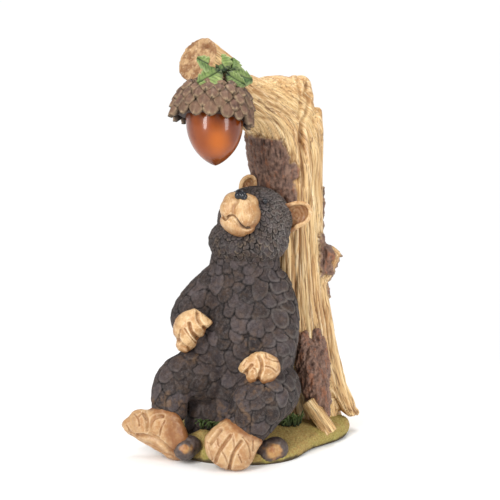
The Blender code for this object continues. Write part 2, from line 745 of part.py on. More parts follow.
def socket_block():
    """The round seat in the cap that takes the open end of the nut."""
    gap = LENS_CLEARANCE / UNIT
    radius = LENS_RADIUS / UNIT + gap
    below_rim = 12.0
    profile = [(-LENS_SEAT / UNIT - gap, radius), (below_rim, radius)]
    return turned(profile, LENS_MOUTH, LENS_AXIS, sides=LENS_SIDES)


def panel_axes():
    """Rows: across the panel, up its slope, and straight out of its face."""
    out = np.array((0.0, math.cos(PANEL_SKYWARD), math.sin(PANEL_SKYWARD)))
    return np.array([(-1.0, 0.0, 0.0), np.cross(out, (-1.0, 0.0, 0.0)), out])


def panel_half(border, depth):
    """Half the panel's width and length, in carving units, with a border around it, and a depth."""
    return np.array((PANEL_WIDTH / 2 + border, PANEL_LENGTH / 2 + border, depth)) / UNIT


def slab(half_sizes, middle_out):
    """A box in the panel's frame. middle_out is how far its middle stands out of the panel's centre."""
    axes = panel_axes()
    return PANEL_CENTRE + axes[2] * middle_out + box_corners(half_sizes) @ axes, BOX_FACES


def panel_boss():
    """A block of wood on the stump's back, deep enough to hold the panel."""
    half = panel_half(PANEL_BORDER, 0.0)
    axes = panel_axes()
    squareness = 0.35
    turns = (np.arange(32) + 0.5) * 2 * math.pi / 32
    across = np.sign(np.cos(turns)) * np.abs(np.cos(turns)) ** squareness
    up = np.sign(np.sin(turns)) * np.abs(np.sin(turns)) ** squareness
    rings = []
    for out, grow in ((2.0, 0.0), (-4.0, 0.8), (-12.0, -1.0), (-24.0, -7.0)):
        middle = PANEL_CENTRE + axes[2] * out
        sideways = np.outer(across * (half[0] + grow), axes[0])
        rings.append(middle + sideways + np.outer(up * (half[1] + grow), axes[1]))
    return [rings_to_shell(rings)]


def shave_block():
    """Cuts the block's face flat around the panel."""
    thick = PANEL_BORDER
    return slab(panel_half(1.25 * PANEL_BORDER, thick), thick / UNIT)


def recess_block():
    """The pocket that the panel lies in."""
    depth = PANEL_THICKNESS + PANEL_CLEARANCE - PANEL_STANDS_PROUD
    return slab(panel_half(PANEL_CLEARANCE, depth), 0.0)


def panel():
    half = panel_half(0.0, PANEL_THICKNESS / 2)
    return slab(half, (PANEL_STANDS_PROUD - PANEL_THICKNESS / 2) / UNIT)


def cell_block():
    """Sinks the cells a little below the panel's frame."""
    return slab(panel_half(-PANEL_FRAME, CELL_SINK), PANEL_STANDS_PROUD / UNIT)


# Putting it together

def material(name, colour, roughness, alpha=1.0):
    made = bpy.data.materials.new(name)
    made.use_nodes = True
    shader = made.node_tree.nodes["Principled BSDF"]
    shader.inputs["Base Color"].default_value = (*colour, 1.0)
    shader.inputs["Roughness"].default_value = roughness
    shader.inputs["Alpha"].default_value = alpha
    return made


def add_object(name, mesh, finish):
    thing = bpy.data.objects.new(name, mesh)
    bpy.context.collection.objects.link(thing)
    mesh.materials.clear()
    mesh.materials.append(finish)
    return thing


def add_cutter(name, points, faces):
    mesh = mesh_of(name, points, faces)
    solid = bmesh.new()
    solid.from_mesh(mesh)
    bmesh.ops.recalc_face_normals(solid, faces=solid.faces)
    solid.to_mesh(mesh)
    solid.free()
    cutter = bpy.data.objects.new(name, mesh)
    bpy.context.collection.objects.link(cutter)
    cutter.hide_render = True
    cutter.display_type = "WIRE"
    return cutter


def cut(thing, cutter):
    boolean = thing.modifiers.new("Cut " + cutter.name, "BOOLEAN")
    boolean.operation = "DIFFERENCE"
    boolean.solver = "EXACT"
    boolean.object = cutter


def statue_mesh():
    """Every carved form as one skin, with as few triangles as keep the carving."""
    shells = [bear_body(), *bare_parts(), *nose_and_eyes(), tree(), loose_wood(), ground()]
    shells += [*tufts(), *small_acorns(), *cap_shells(), *leaf_shells(), *panel_boss()]
    fine = mesh_of("Statue", *joined(shells))

    def join(thing):
        remesh = thing.modifiers.new("Join", "REMESH")
        remesh.mode = "VOXEL"
        remesh.voxel_size = JOIN_VOXEL * UNIT
        thing.modifiers.new("Triangles", "TRIANGULATE")

    whole = evaluated(fine, join)

    def thin_out(thing):
        decimate = thing.modifiers.new("Fewer faces", "DECIMATE")
        decimate.ratio = STATUE_TRIANGLES / len(whole.polygons)

    return evaluated(whole, thin_out)


def clear_scene():
    for thing in list(bpy.data.objects):
        bpy.data.objects.remove(thing)


def main():
    clear_scene()
    statue = add_object("resin_statue", statue_mesh(), material("painted resin", (0.30, 0.22, 0.15), 0.6))
    statue.data.shade_smooth()
    cut(statue, add_cutter("floor_cut", *floor_block()))
    cut(statue, add_cutter("lens_socket", *socket_block()))
    cut(statue, add_cutter("panel_face_cut", *shave_block()))
    cut(statue, add_cutter("panel_recess", *recess_block()))
    nut = add_object("acorn_lens", mesh_of("acorn_lens", *lens()),
                     material("amber plastic", (0.85, 0.32, 0.05), 0.15, alpha=0.6))
    nut.data.shade_smooth()
    cells = add_object("solar_panel", mesh_of("solar_panel", *panel()),
                       material("solar cell", (0.02, 0.03, 0.08), 0.2))
    edge = cells.modifiers.new("Rounded edge", "BEVEL")
    edge.width = PANEL_EDGE
    edge.segments = 2
    cut(cells, add_cutter("cell_sink", *cell_block()))


main()
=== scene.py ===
"""Looks of the bear garden statue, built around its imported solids.

Every carved form is made again here, finer than in the solids, with its fur scales, wood grain and
grooves, and is painted the way cast resin is: a base colour, a dark wash in the grooves and a light
brush over the ridges. Lengths are in millimetres as the figure was drawn, until mesh_of turns them
into metres around the part's origin.
"""

import math

import bmesh
import bpy
import numpy as np
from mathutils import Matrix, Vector, noise
from mathutils.kdtree import KDTree


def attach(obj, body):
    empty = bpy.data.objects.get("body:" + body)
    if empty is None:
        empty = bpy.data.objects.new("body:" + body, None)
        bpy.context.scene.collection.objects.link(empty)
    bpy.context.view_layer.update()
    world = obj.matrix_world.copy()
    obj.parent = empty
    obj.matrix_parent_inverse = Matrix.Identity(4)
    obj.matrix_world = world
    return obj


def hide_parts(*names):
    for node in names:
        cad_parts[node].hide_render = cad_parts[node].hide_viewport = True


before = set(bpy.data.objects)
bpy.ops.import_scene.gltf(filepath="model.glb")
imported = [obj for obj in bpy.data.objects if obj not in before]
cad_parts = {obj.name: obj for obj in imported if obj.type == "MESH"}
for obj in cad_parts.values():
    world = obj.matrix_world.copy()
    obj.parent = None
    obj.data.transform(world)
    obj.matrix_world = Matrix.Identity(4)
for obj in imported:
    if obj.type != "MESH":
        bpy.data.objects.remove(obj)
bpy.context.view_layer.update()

# The point under the drawn figure that is the part's origin
DRAWN_MIDDLE = np.array((2.3, 4.6, 0.0))
MM = 0.001

# The camera. Its view is also a ruler: outlines and grooves that were read are pixels of this
# front view, and a distance along Y, which is chosen, gives each its depth.
VIEW_HEIGHT = math.radians(11.0)
VIEW_DISTANCE = 1000.0
VIEW_TARGET = np.array((6.0, 0.0, 146.0))
LENS_MM = 100.0
SENSOR_MM = 36.0
FRAME_PIXELS = 500.0
MM_PER_PIXEL = 0.72
PIXEL_SCALE = FRAME_PIXELS * LENS_MM / SENSOR_MM

UP = np.array((0.0, 0.0, 1.0))
BEAR_YAW = math.radians(25.0)
BEAR_AXES = np.array([
    (math.cos(BEAR_YAW), -math.sin(BEAR_YAW), 0.0),
    (-math.sin(BEAR_YAW), -math.cos(BEAR_YAW), 0.0),
    (0.0, 0.0, 1.0),
])
HEAD_CENTRE = np.array((8.0, 4.0, 164.0))
HEAD_YAW = math.radians(24.0)
HEAD_PITCH = math.radians(24.0)
HEAD_ROLL = math.radians(24.0)

LENS_MOUTH = np.array((-18.6, -18.0, 243.0))
LENS_LEAN = math.radians(15.5)
LENS_AXIS = np.array((0.02, -math.sin(LENS_LEAN), -math.cos(LENS_LEAN)))
LENS_RADIUS = 20.0
LENS_LENGTH = 33.5
LENS_WALL = 2.0
LENS_SEAT = 5.0
# The spot of the front view where the lens's painted glow is brightest
LENS_GLOW = np.array((219.0, 142.0))
CAP_CENTRE = np.array((-20.6, -17.0, 243.0))
CAP_LEAN_RIGHT = math.radians(8.0)
CAP_RADIUS = 29.2
CAP_SCALES_OUT = 4.0
CAP_HEIGHT = 28.0

PANEL_CENTRE = np.array((32.0, 66.5, 222.0))
PANEL_SKYWARD = math.radians(33.0)
PANEL_WIDTH = 40.0
PANEL_LENGTH = 44.0
PANEL_BORDER = 6.0
PANEL_FRAME = 2.2


# Small tools for shapes

def unit_vector(vector):
    """The direction of a vector, with a length of 1."""
    vector = np.asarray(vector, float)
    return vector / np.linalg.norm(vector)


def frame_along(direction, side):
    """Three axes as rows: side and up across the direction, and the direction itself."""
    direction = unit_vector(direction)
    side = np.asarray(side, float)
    side = unit_vector(side - direction * side.dot(direction))
    return np.array([side, np.cross(direction, side), direction])


def smooth_rows(rows, steps):
    """Rows of numbers read from a smooth curve through the given rows."""
    rows = np.array(rows, float)
    padded = np.vstack([2 * rows[0] - rows[1], rows, 2 * rows[-1] - rows[-2]])
    out = []
    for a, b, c, d in zip(padded, padded[1:], padded[2:], padded[3:]):
        for t in np.arange(steps) / steps:
            bend = (2 * a - 5 * b + 4 * c - d) * t * t
            out.append(0.5 * (2 * b + (c - a) * t + bend + (3 * b - a - 3 * c + d) * t ** 3))
    out.append(rows[-1])
    return np.array(out)


def rings_to_shell(rings):
    """A closed shell from rings of points, with a fan over each end."""
    rings = np.array(rings)
    count, sides = rings.shape[:2]
    points = list(rings.reshape(-1, 3)) + [rings[0].mean(0), rings[-1].mean(0)]
    faces = []
    for ring in range(count - 1):
        for side in range(sides):
            after = (side + 1) % sides
            low = ring * sides
            faces.append((low + side, low + after, low + sides + after, low + sides + side))
    first = count * sides
    last_ring = (count - 1) * sides
    for side in range(sides):
        after = (side + 1) % sides
        faces.append((first, after, side))
        faces.append((first + 1, last_ring + side, last_ring + after))
    return np.array(points), faces


def limb(rows, side=(1.0, 0.0, 0.0), flat_start=False, flat_end=False, sides=32, steps=6):
    """A tapered, bent round form. A row is x, y, z, its half width and its half depth."""
    path = smooth_rows(rows, steps)
    angles = np.arange(sides) * 2 * math.pi / sides
    centres = path[:, :3]
    tangents = np.gradient(centres, axis=0)
    rings = []

    def add_ring(centre, axes, wide, deep):
        around = np.outer(np.cos(angles) * wide, axes[0]) + np.outer(np.sin(angles) * deep, axes[1])
        rings.append(centre + around)

    def add_dome(index, sign, steps_out):
        axes = frame_along(tangents[index], side)
        wide, deep = path[index, 3:5]
        reach = 0.9 * min(wide, deep)
        for turn in steps_out:
            out = axes[2] * sign * reach * math.sin(turn)
            shrink = math.cos(turn)
            add_ring(centres[index] + out, axes, wide * shrink, deep * shrink)

    dome = np.radians((20.0, 40.0, 60.0, 78.0))
    if not flat_start:
        add_dome(0, -1.0, dome[::-1])
    for index, row in enumerate(path):
        add_ring(row[:3], frame_along(tangents[index], side), row[3], row[4])
    if not flat_end:
        add_dome(len(path) - 1, 1.0, dome)
    return rings_to_shell(rings)


def ball(centre, radii, axes=np.eye(3), detail=4):
    """An egg-shaped form with its radii along the rows of axes."""
    mesh = bmesh.new()
    bmesh.ops.create_icosphere(mesh, subdivisions=detail, radius=1.0)
    points = np.array([vert.co[:] for vert in mesh.verts])
    faces = [tuple(vert.index for vert in face.verts) for face in mesh.faces]
    mesh.free()
    return np.asarray(centre) + (points * np.asarray(radii)) @ np.asarray(axes), faces


def circle_across(axes, sides):
    """Points of a circle of radius 1 across the last of three axes."""
    angles = np.arange(sides) * 2 * math.pi / sides
    return np.outer(np.cos(angles), axes[0]) + np.outer(np.sin(angles), axes[1])


def mesh_of(name, points, faces):
    """A mesh in metres around the part's origin."""
    mesh = bpy.data.meshes.new(name)
    places = (np.asarray(points) - DRAWN_MIDDLE) * MM
    mesh.from_pydata(places.tolist(), [], [tuple(face) for face in faces])
    mesh.validate()
    return mesh


def joined(shells):
    """The points and faces of several shells as one list of each."""
    points, faces, start = [], [], 0
    for shell_points, shell_faces in shells:
        points.append(np.asarray(shell_points))
        faces.extend(tuple(index + start for index in face) for face in shell_faces)
        start += len(shell_points)
    return np.vstack(points), faces


class Skin:
    """The points, normals, faces and edges of a surface that is being carved."""

    def __init__(self, mesh):
        count = len(mesh.vertices)
        points = np.empty(count * 3)
        normals = np.empty(count * 3)
        edges = np.empty(len(mesh.edges) * 2, int)
        mesh.vertices.foreach_get("co", points)
        mesh.vertices.foreach_get("normal", normals)
        mesh.edges.foreach_get("vertices", edges)
        self.points = points.reshape(-1, 3) / MM + DRAWN_MIDDLE
        self.normals = normals.reshape(-1, 3)
        self.edges = edges.reshape(-1, 2)
        self.faces = [tuple(face.vertices) for face in mesh.polygons]
        self.paint = {}

    def blurred(self, values, rounds):
        """The values averaged with their neighbours, so many times over."""
        a, b = self.edges.T
        count = len(values)
        near = np.bincount(a, minlength=count) + np.bincount(b, minlength=count)
        for _ in range(rounds):
            total = np.bincount(a, values[b], count) + np.bincount(b, values[a], count)
            values = 0.4 * values + 0.6 * total / np.maximum(near, 1)
        return values

    def borders(self, owner, height):
        """1 at points that lie just below the edge of a neighbouring scale, else 0."""
        a, b = self.edges.T
        apart = owner[a] != owner[b]
        low = np.where(height[a] < height[b], a, b)[apart]
        found = np.zeros(len(self.points))
        found[low] = 1.0
        return found

    def hollows(self):
        """How hollow the surface is around each point, above 0 in a crease."""
        around = np.column_stack([self.blurred(values, 6) for values in self.points.T])
        return ((around - self.points) * self.normals).sum(1)

    def carve(self, height, depth=0.5):
        """Moves the surface out by height, and notes its grooves and ridges for the paint."""
        self.points = self.points + self.normals * height[:, None]
        self.points[:, 2] = np.maximum(self.points[:, 2], 0.0)
        near = (self.blurred(height, 4) - height) / depth
        broad = (self.blurred(height, 24) - height) / (2.4 * depth)
        self.paint["groove"] = np.clip(np.maximum(near, broad), 0.0, 1.0)
        self.paint["ridge"] = np.clip(-near, 0.0, 1.0)


def skin(shells, voxel, smoothing):
    """One smooth closed skin around overlapping shells."""
    thing = bpy.data.objects.new("Shells", mesh_of("Shells", *joined(shells)))
    bpy.context.collection.objects.link(thing)
    remesh = thing.modifiers.new("Skin", "REMESH")
    remesh.mode = "VOXEL"
    remesh.voxel_size = voxel * MM
    smooth = thing.modifiers.new("Smooth", "SMOOTH")
    smooth.factor = 0.5
    smooth.iterations = smoothing
    graph = bpy.context.evaluated_depsgraph_get()
    mesh = bpy.data.meshes.new_from_object(thing.evaluated_get(graph))
    made = Skin(mesh)
    bpy.data.meshes.remove(mesh)
    bpy.data.objects.remove(thing)
    return made


def noise_at(points, seed=0.0):
    """Smooth noise from -1 to 1 at each point."""
    shifted = np.asarray(points) + (seed, 0.0, 0.0)
    return np.array([noise.noise(Vector(point)) for point in shifted.tolist()])


def ramp(value, low, high):
    """A smooth step from 0 at low to 1 at high."""
    t = np.clip((value - low) / (high - low), 0.0, 1.0)
    return t * t * (3.0 - 2.0 * t)


def distance_to_path(points, rows, steps=6):
    """How far each point is from a smooth path through the rows, in any number of dimensions."""
    path = smooth_rows(rows, steps)
    best = np.full(len(points), 1e9)
    for start, end in zip(path, path[1:]):
        along = end - start
        t = np.clip((points - start) @ along / (along.dot(along) + 1e-12), 0.0, 1.0)
        best = np.minimum(best, np.linalg.norm(points - start - t[:, None] * along, axis=1))
    return best


def seen_at(points):
    """Where the front view shows each point, in pixels from the frame's top left corner."""
    away = points - VIEW_TARGET
    depth = VIEW_DISTANCE + away[:, 1] * math.cos(VIEW_HEIGHT) - away[:, 2] * math.sin(VIEW_HEIGHT)
    scale = PIXEL_SCALE / depth
    rise = away[:, 1] * math.sin(VIEW_HEIGHT) + away[:, 2] * math.cos(VIEW_HEIGHT)
    half = FRAME_PIXELS / 2
    return np.column_stack([half + scale * away[:, 0], half - scale * rise])


def placed(seen, away):
    """The point that the front view shows at a pixel, at its distance along Y."""
    rise = (FRAME_PIXELS / 2 - seen[1]) / PIXEL_SCALE
    level = VIEW_DISTANCE + away * math.cos(VIEW_HEIGHT)
    height = rise * level - away * math.sin(VIEW_HEIGHT)
    height /= math.cos(VIEW_HEIGHT) + rise * math.sin(VIEW_HEIGHT)
    depth = level - height * math.sin(VIEW_HEIGHT)
    right = (seen[0] - FRAME_PIXELS / 2) * depth / PIXEL_SCALE
    return VIEW_TARGET + np.array((right, away, height))


def pillow(outline, middle, away, front, back):
    """A rounded form that fills an outline of the front view.

    away is its distance along Y at the middle, and what each pixel to the right and down adds to it.
    """
    outline = smooth_rows([*outline, outline[0]], 4)[:-1]
    middle = np.array(middle, float)
    level, per_right, per_down = away
    rings = []
    turns = np.radians(np.linspace(4.0, 90.0, 9))
    for depth, steps in ((-front, turns), (back, turns[-2::-1])):
        for turn in steps:
            ring = middle + (outline - middle) * math.sin(turn)
            lean = (ring - middle) @ (per_right, per_down)
            rings.append([placed(seen, level + slant + depth * math.cos(turn))
                          for seen, slant in zip(ring, lean)])
    return rings_to_shell(rings)


def faces_front(normals):
    """From 0 to 1, how much each point faces the side that the front view shows."""
    towards = np.array((0.0, -math.cos(VIEW_HEIGHT), math.sin(VIEW_HEIGHT)))
    return ramp(normals @ towards, -0.05, 0.25)


def grooves(made, lines, width, depth):
    """Depth of rounded grooves along lines that are drawn on the front view."""
    seen = seen_at(made.points)
    cut = np.zeros(len(seen))
    for line in lines:
        away = distance_to_path(seen, line) * MM_PER_PIXEL
        cut = np.maximum(cut, depth * (1.0 - ramp(away, 0.15 * width, width)))
    return cut * faces_front(made.normals)


def seen_from(made, spot, stretch=(1.0, 1.0)):
    """How far each point of a surface lies from a spot of the front view, in pixels."""
    return np.linalg.norm((seen_at(made.points) - spot) * stretch, axis=1)


def inside_outline(seen, outline):
    """How far inside a closed outline each seen point is, in millimetres. Outside is below 0."""
    outline = np.array(outline, float)
    after = np.roll(outline, -1, axis=0)
    inside = np.zeros(len(seen), bool)
    away = np.full(len(seen), 1e9)
    for a, b in zip(outline, after):
        along = b - a
        t = np.clip((seen - a) @ along / along.dot(along), 0.0, 1.0)
        away = np.minimum(away, np.linalg.norm(seen - a - t[:, None] * along, axis=1))
        crosses = (a[1] > seen[:, 1]) != (b[1] > seen[:, 1])
        meets = a[0] + (seen[:, 1] - a[1]) * along[0] / (along[1] + 1e-12)
        inside ^= crosses & (seen[:, 0] < meets)
    return np.where(inside, away, -away) * MM_PER_PIXEL


def spread(points, gaps, seed):
    """Indexes of points that lie at least their own gap from each other."""
    free = np.ones(len(points), bool)
    chosen = []
    for index in np.random.default_rng(seed).permutation(len(points)):
        if free[index]:
            chosen.append(index)
            free[((points - points[index]) ** 2).sum(1) < gaps[index] ** 2] = False
    return chosen


# What a fur scale's gap to the next, its half length and its half width are shares of its size
SCALE_GAP = 0.72
SCALE_HALF_LENGTH = 0.60
SCALE_HALF_WIDTH = 0.58
SCALE_SQUARENESS = 2.4


def overlapping_scales(made, flow, sizes, slender, seed):
    """Height, tint, rim and owner of rough rounded scales that overlap like shingles along the flow."""
    points, normals = made.points, made.normals
    height = np.zeros(len(points))
    tint = np.full(len(points), 0.5)
    rim = np.zeros(len(points))
    owner = np.full(len(points), -1)
    flow = flow - normals * (flow * normals).sum(1)[:, None]
    flow /= np.linalg.norm(flow, axis=1)[:, None] + 1e-9
    random = np.random.default_rng(seed + 1)
    for index in spread(points, sizes * SCALE_GAP, seed):
        size = sizes[index] * random.uniform(0.85, 1.15)
        turn = random.normal(0.0, 0.35)
        down = flow[index] * math.cos(turn) + np.cross(normals[index], flow[index]) * math.sin(turn)
        across = np.cross(normals[index], down)
        bends = random.uniform(0.0, 2 * math.pi, 3)
        shade = random.uniform()
        offset = points - points[index]
        near = np.where((offset ** 2).sum(1) < (0.85 * slender * size) ** 2)[0]
        near = near[normals[near] @ normals[index] > 0.2]
        a = offset[near] @ down / (SCALE_HALF_LENGTH * slender * size)
        b = offset[near] @ across / (SCALE_HALF_WIDTH * size / slender)
        around = np.arctan2(b, a)
        reach = 1.0 + 0.09 * np.sin(2 * around + bends[0]) + 0.06 * np.sin(3 * around + bends[1])
        reach += 0.03 * np.sin(5 * around + bends[2])
        edge = np.abs(a) ** SCALE_SQUARENESS + np.abs(b) ** SCALE_SQUARENESS
        edge = edge ** (1 / SCALE_SQUARENESS) / reach
        inside = edge < 1.0
        near, a, edge = near[inside], a[inside], edge[inside]
        rise = 0.45 + random.uniform(0.14, 0.30) * a + random.uniform(0.0, 0.25) - 0.10 * edge ** 2
        rise = rise * ramp(1.0 - edge, 0.0, 0.10)
        higher = rise > height[near]
        near, rise, edge = near[higher], rise[higher], edge[higher]
        height[near] = rise
        tint[near] = shade
        rim[near] = ramp(edge, 0.55, 0.95)
        owner[near] = index
    return height, tint, rim, owner


# The pieces in the scene

def add_attribute(mesh, name, values):
    values = np.asarray(values, np.float32)
    if values.ndim == 1:
        mesh.attributes.new(name, "FLOAT", "POINT").data.foreach_set("value", values)
    else:
        mesh.attributes.new(name, "FLOAT_VECTOR", "POINT").data.foreach_set("vector", values.ravel())


def add_piece(name, points, faces, finish, slot, node="resin_statue", paint=None):
    mesh = mesh_of(name, points, faces)
    for key, values in (paint or {}).items():
        add_attribute(mesh, key, values)
    solid = bmesh.new()
    solid.from_mesh(mesh)
    bmesh.ops.recalc_face_normals(solid, faces=solid.faces)
    solid.to_mesh(mesh)
    solid.free()
    mesh.shade_smooth()
    mesh.materials.append(finish)
    piece = bpy.data.objects.new(name, mesh)
    bpy.context.collection.objects.link(piece)
    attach(piece, "root")
    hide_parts(node)
    return piece


def add_skin(name, made, finish, slot):
    return add_piece(name, made.points, made.faces, finish, slot, paint=made.paint)


# Paint

class Paint:
    """A material that is laid on in coats, and short names for the nodes that this scene uses."""

    def __init__(self, name, roughness, specular=0.35):
        self.material = bpy.data.materials.new(name)
        self.material.use_nodes = True
        self.tree = self.material.node_tree
        self.shader = self.tree.nodes["Principled BSDF"]
        self.set("Roughness", roughness)
        self.set("Specular IOR Level", specular)
        self.place = self.add("ShaderNodeTexCoord").outputs["Object"]
        self.base = None

    def set(self, name, value):
        """Sets one of the shader's own sockets."""
        self.put(self.shader.inputs[name], value)

    def add(self, kind, **settings):
        node = self.tree.nodes.new(kind)
        for key, value in settings.items():
            setattr(node, key, value)
        return node

    def put(self, socket, value):
        """Links a socket to another one, or gives it a number, a vector or a colour."""
        if isinstance(value, bpy.types.NodeSocket):
            self.tree.links.new(value, socket)
        elif socket.type == "RGBA":
            socket.default_value = (*value, 1.0)
        else:
            socket.default_value = value

    def attribute(self, name, output="Fac"):
        return self.add("ShaderNodeAttribute", attribute_name=name).outputs[output]

    def noise(self, scale, detail=4.0, vector=None, roughness=0.6):
        node = self.add("ShaderNodeTexNoise")
        self.put(node.inputs["Vector"], self.place if vector is None else vector)
        self.put(node.inputs["Scale"], scale)
        self.put(node.inputs["Detail"], detail)
        self.put(node.inputs["Roughness"], roughness)
        return node.outputs["Fac"]

    def cells(self, scale):
        node = self.add("ShaderNodeTexVoronoi")
        self.put(node.inputs["Vector"], self.place)
        self.put(node.inputs["Scale"], scale)
        return node.outputs["Distance"]

    def between(self, value, low, high, to_low=0.0, to_high=1.0):
        """A smooth step from to_low at low to to_high at high."""
        node = self.add("ShaderNodeMapRange", interpolation_type="SMOOTHSTEP")
        for name, number in (("Value", value), ("From Min", low), ("From Max", high),
                             ("To Min", to_low), ("To Max", to_high)):
            self.put(node.inputs[name], number)
        return node.outputs["Result"]

    def spots(self, scale, detail, low, high, roughness=0.6):
        """Cloudy spots, from 0 to 1."""
        return self.between(self.noise(scale, detail, roughness=roughness), low, high)

    def maths(self, operation, a, b=0.0):
        node = self.add("ShaderNodeMath", operation=operation)
        self.put(node.inputs[0], a)
        self.put(node.inputs[1], b)
        return node.outputs["Value"]

    def times(self, a, b):
        return self.maths("MULTIPLY", a, b)

    def plus(self, a, b):
        return self.maths("ADD", a, b)

    def vector_maths(self, operation, a, b=(0.0, 0.0, 0.0), output="Vector"):
        node = self.add("ShaderNodeVectorMath", operation=operation)
        self.put(node.inputs[0], a)
        self.put(node.inputs[1], tuple(b))
        return node.outputs[output]

    def stretch(self, vector, scale):
        return self.vector_maths("MULTIPLY", vector, scale)

    def along(self, origin, axis):
        """Distance from an origin along an axis, in metres."""
        shift = self.vector_maths("SUBTRACT", self.place, origin)
        return self.vector_maths("DOT_PRODUCT", shift, axis, "Value")

    def lines(self, vector, thin):
        """Thin wandering lines along a vector's longest direction."""
        away = self.maths("ABSOLUTE", self.plus(self.noise(1.0, 2.0, vector, 0.5), -0.5))
        return self.between(away, thin, 0.0)

    def mix(self, first, second, share):
        node = self.add("ShaderNodeMix", data_type="RGBA")
        self.put(node.inputs["Factor"], share)
        self.put(node.inputs["A"], first)
        self.put(node.inputs["B"], second)
        return node.outputs["Result"]

    def over(self, under, colour, share, strength=1.0):
        """A colour laid over another. The share is a socket or the name of an attribute."""
        if isinstance(share, str):
            share = self.attribute(share)
        if strength != 1.0:
            share = self.times(share, strength)
        return self.mix(under, colour, share)

    def coat(self, colour, share, strength=1.0):
        """Lays a colour over all the coats so far."""
        self.base = self.over(self.base, colour, share, strength)

    def bump(self, height, depth):
        node = self.add("ShaderNodeBump")
        self.put(node.inputs["Distance"], depth * MM)
        self.put(node.inputs["Height"], height)
        self.set("Normal", node.outputs["Normal"])

    def finished(self):
        self.set("Base Color", self.base)
        return self.material


def fur_paint():
    paint = Paint("fur paint", 0.66, 0.22)
    paint.base = paint.mix((0.020, 0.015, 0.015), (0.076, 0.060, 0.062), paint.attribute("tint"))
    paint.coat((0.050, 0.030, 0.022), paint.spots(55.0, 3.0, 0.40, 0.62), 0.45)
    paint.coat((0.115, 0.097, 0.094), paint.spots(430.0, 7.0, 0.46, 0.62, 0.8), 0.50)
    paint.coat((0.016, 0.011, 0.010), paint.spots(300.0, 5.0, 0.55, 0.42, 0.7), 0.45)
    paint.coat((0.32, 0.29, 0.26), paint.times(paint.attribute("ridge"), paint.attribute("brush")), 0.85)
    paint.coat((0.34, 0.22, 0.11), "curl", 0.55)
    dust = paint.times(paint.spots(180.0, 5.0, 0.44, 0.68), paint.attribute("dust"))
    paint.coat((0.20, 0.115, 0.060), dust, 0.60)
    paint.coat((0.004, 0.003, 0.003), "groove")
    paint.coat((0.24, 0.15, 0.09), paint.spots(900.0, 3.0, 0.66, 0.72), 0.5)
    paint.bump(paint.noise(700.0, 7.0, roughness=0.7), 0.8)
    return paint.finished()


def skin_paint():
    """Cream with an orange-brown wash in the grooves and beside the fur, and painted shade under the muzzle.
    """
    paint = Paint("cream skin paint", 0.38, 0.45)
    soft = paint.spots(120.0, 5.0, 0.36, 0.62, 0.65)
    paint.base = paint.mix((0.44, 0.225, 0.085), (0.62, 0.405, 0.200), soft)
    paint.coat((0.88, 0.72, 0.49), "ridge", 0.90)
    paint.coat((0.84, 0.66, 0.42), paint.spots(330.0, 5.0, 0.54, 0.70, 0.7), 0.60)
    patchy = paint.between(paint.noise(200.0, 4.0), 0.2, 0.6, 0.55, 0.95)
    # The border coat: an orange-brown wash beside the fur, along the lip grooves, round the muzzle's edge, in
    # the ear bowls and on the feet, and painted shade under the muzzle
    paint.coat((0.22, 0.082, 0.024), paint.times(paint.attribute("border"), patchy))
    paint.coat((0.22, 0.10, 0.035), paint.spots(1300.0, 2.0, 0.69, 0.74), 0.7)
    paint.coat((0.20, 0.075, 0.020), "groove", 0.92)
    paint.coat((0.022, 0.010, 0.005), "dark")
    paint.bump(paint.noise(700.0, 5.0), 0.25)
    return paint.finished()


def sawn_colour(paint):
    """The brown, crumbly end of the branch."""
    cut = paint.mix((0.26, 0.125, 0.050), (0.50, 0.31, 0.155), paint.spots(150.0, 6.0, 0.40, 0.58))
    cut = paint.over(cut, (0.70, 0.50, 0.30), paint.spots(420.0, 5.0, 0.54, 0.64, 0.7), 0.6)
    cut = paint.over(cut, (0.095, 0.050, 0.026), paint.spots(360.0, 6.0, 0.47, 0.34, 0.75), 0.7)
    return paint.over(cut, (0.22, 0.085, 0.030), "groove", 0.8)


def bark_colour(paint, rough):
    """Purple-brown bark with rust and pale flecks."""
    bark = paint.mix((0.115, 0.061, 0.046), (0.265, 0.155, 0.108), paint.between(rough, 0.36, 0.62))
    strokes = paint.noise(1.0, 5.0, paint.stretch(paint.place, (240.0, 240.0, 70.0)), 0.7)
    bark = paint.over(bark, (0.34, 0.135, 0.065), paint.between(strokes, 0.50, 0.64), 0.75)
    pale = paint.times(paint.attribute("ridge"), paint.spots(420.0, 5.0, 0.55, 0.66, 0.75))
    bark = paint.over(bark, (0.42, 0.30, 0.21), pale, 0.9)
    return paint.over(bark, (0.030, 0.017, 0.014), "groove", 0.75)


def wood_paint():
    """Bare wood, with bark paint wherever the bark attribute says so."""
    paint = Paint("wood paint", 0.48, 0.35)
    grain = paint.attribute("grain", "Vector")
    broad = paint.noise(1.0, 4.0, paint.stretch(grain, (0.16, 0.16, 0.014)), 0.6)
    fine = paint.noise(1.0, 6.0, paint.stretch(grain, (0.75, 0.75, 0.028)), 0.72)
    hair = paint.lines(paint.stretch(grain, (0.55, 0.55, 0.016)), 0.030)
    thread = paint.lines(paint.stretch(grain, (0.24, 0.24, 0.009)), 0.020)
    rough = paint.noise(260.0, 7.0, roughness=0.7)
    bark = paint.attribute("bark")
    paint.base = paint.mix((0.56, 0.310, 0.115), (0.78, 0.54, 0.255), paint.between(broad, 0.36, 0.60))
    paint.coat((0.40, 0.180, 0.050), paint.between(fine, 0.50, 0.36), 0.75)
    paint.coat((0.95, 0.78, 0.50), paint.between(fine, 0.53, 0.66), 0.85)
    paint.coat((0.96, 0.82, 0.56), "ridge", 0.65)
    paint.coat((0.25, 0.105, 0.030), hair, 0.65)
    paint.coat((0.17, 0.070, 0.022), thread, 0.80)
    paint.coat((0.15, 0.060, 0.018), "groove", 0.92)
    paint.coat(sawn_colour(paint), "sawn")
    paint.coat(bark_colour(paint, rough), bark)
    paint.bump(paint.plus(paint.times(fine, 0.6), paint.times(rough, bark)), 1.0)
    return paint.finished()


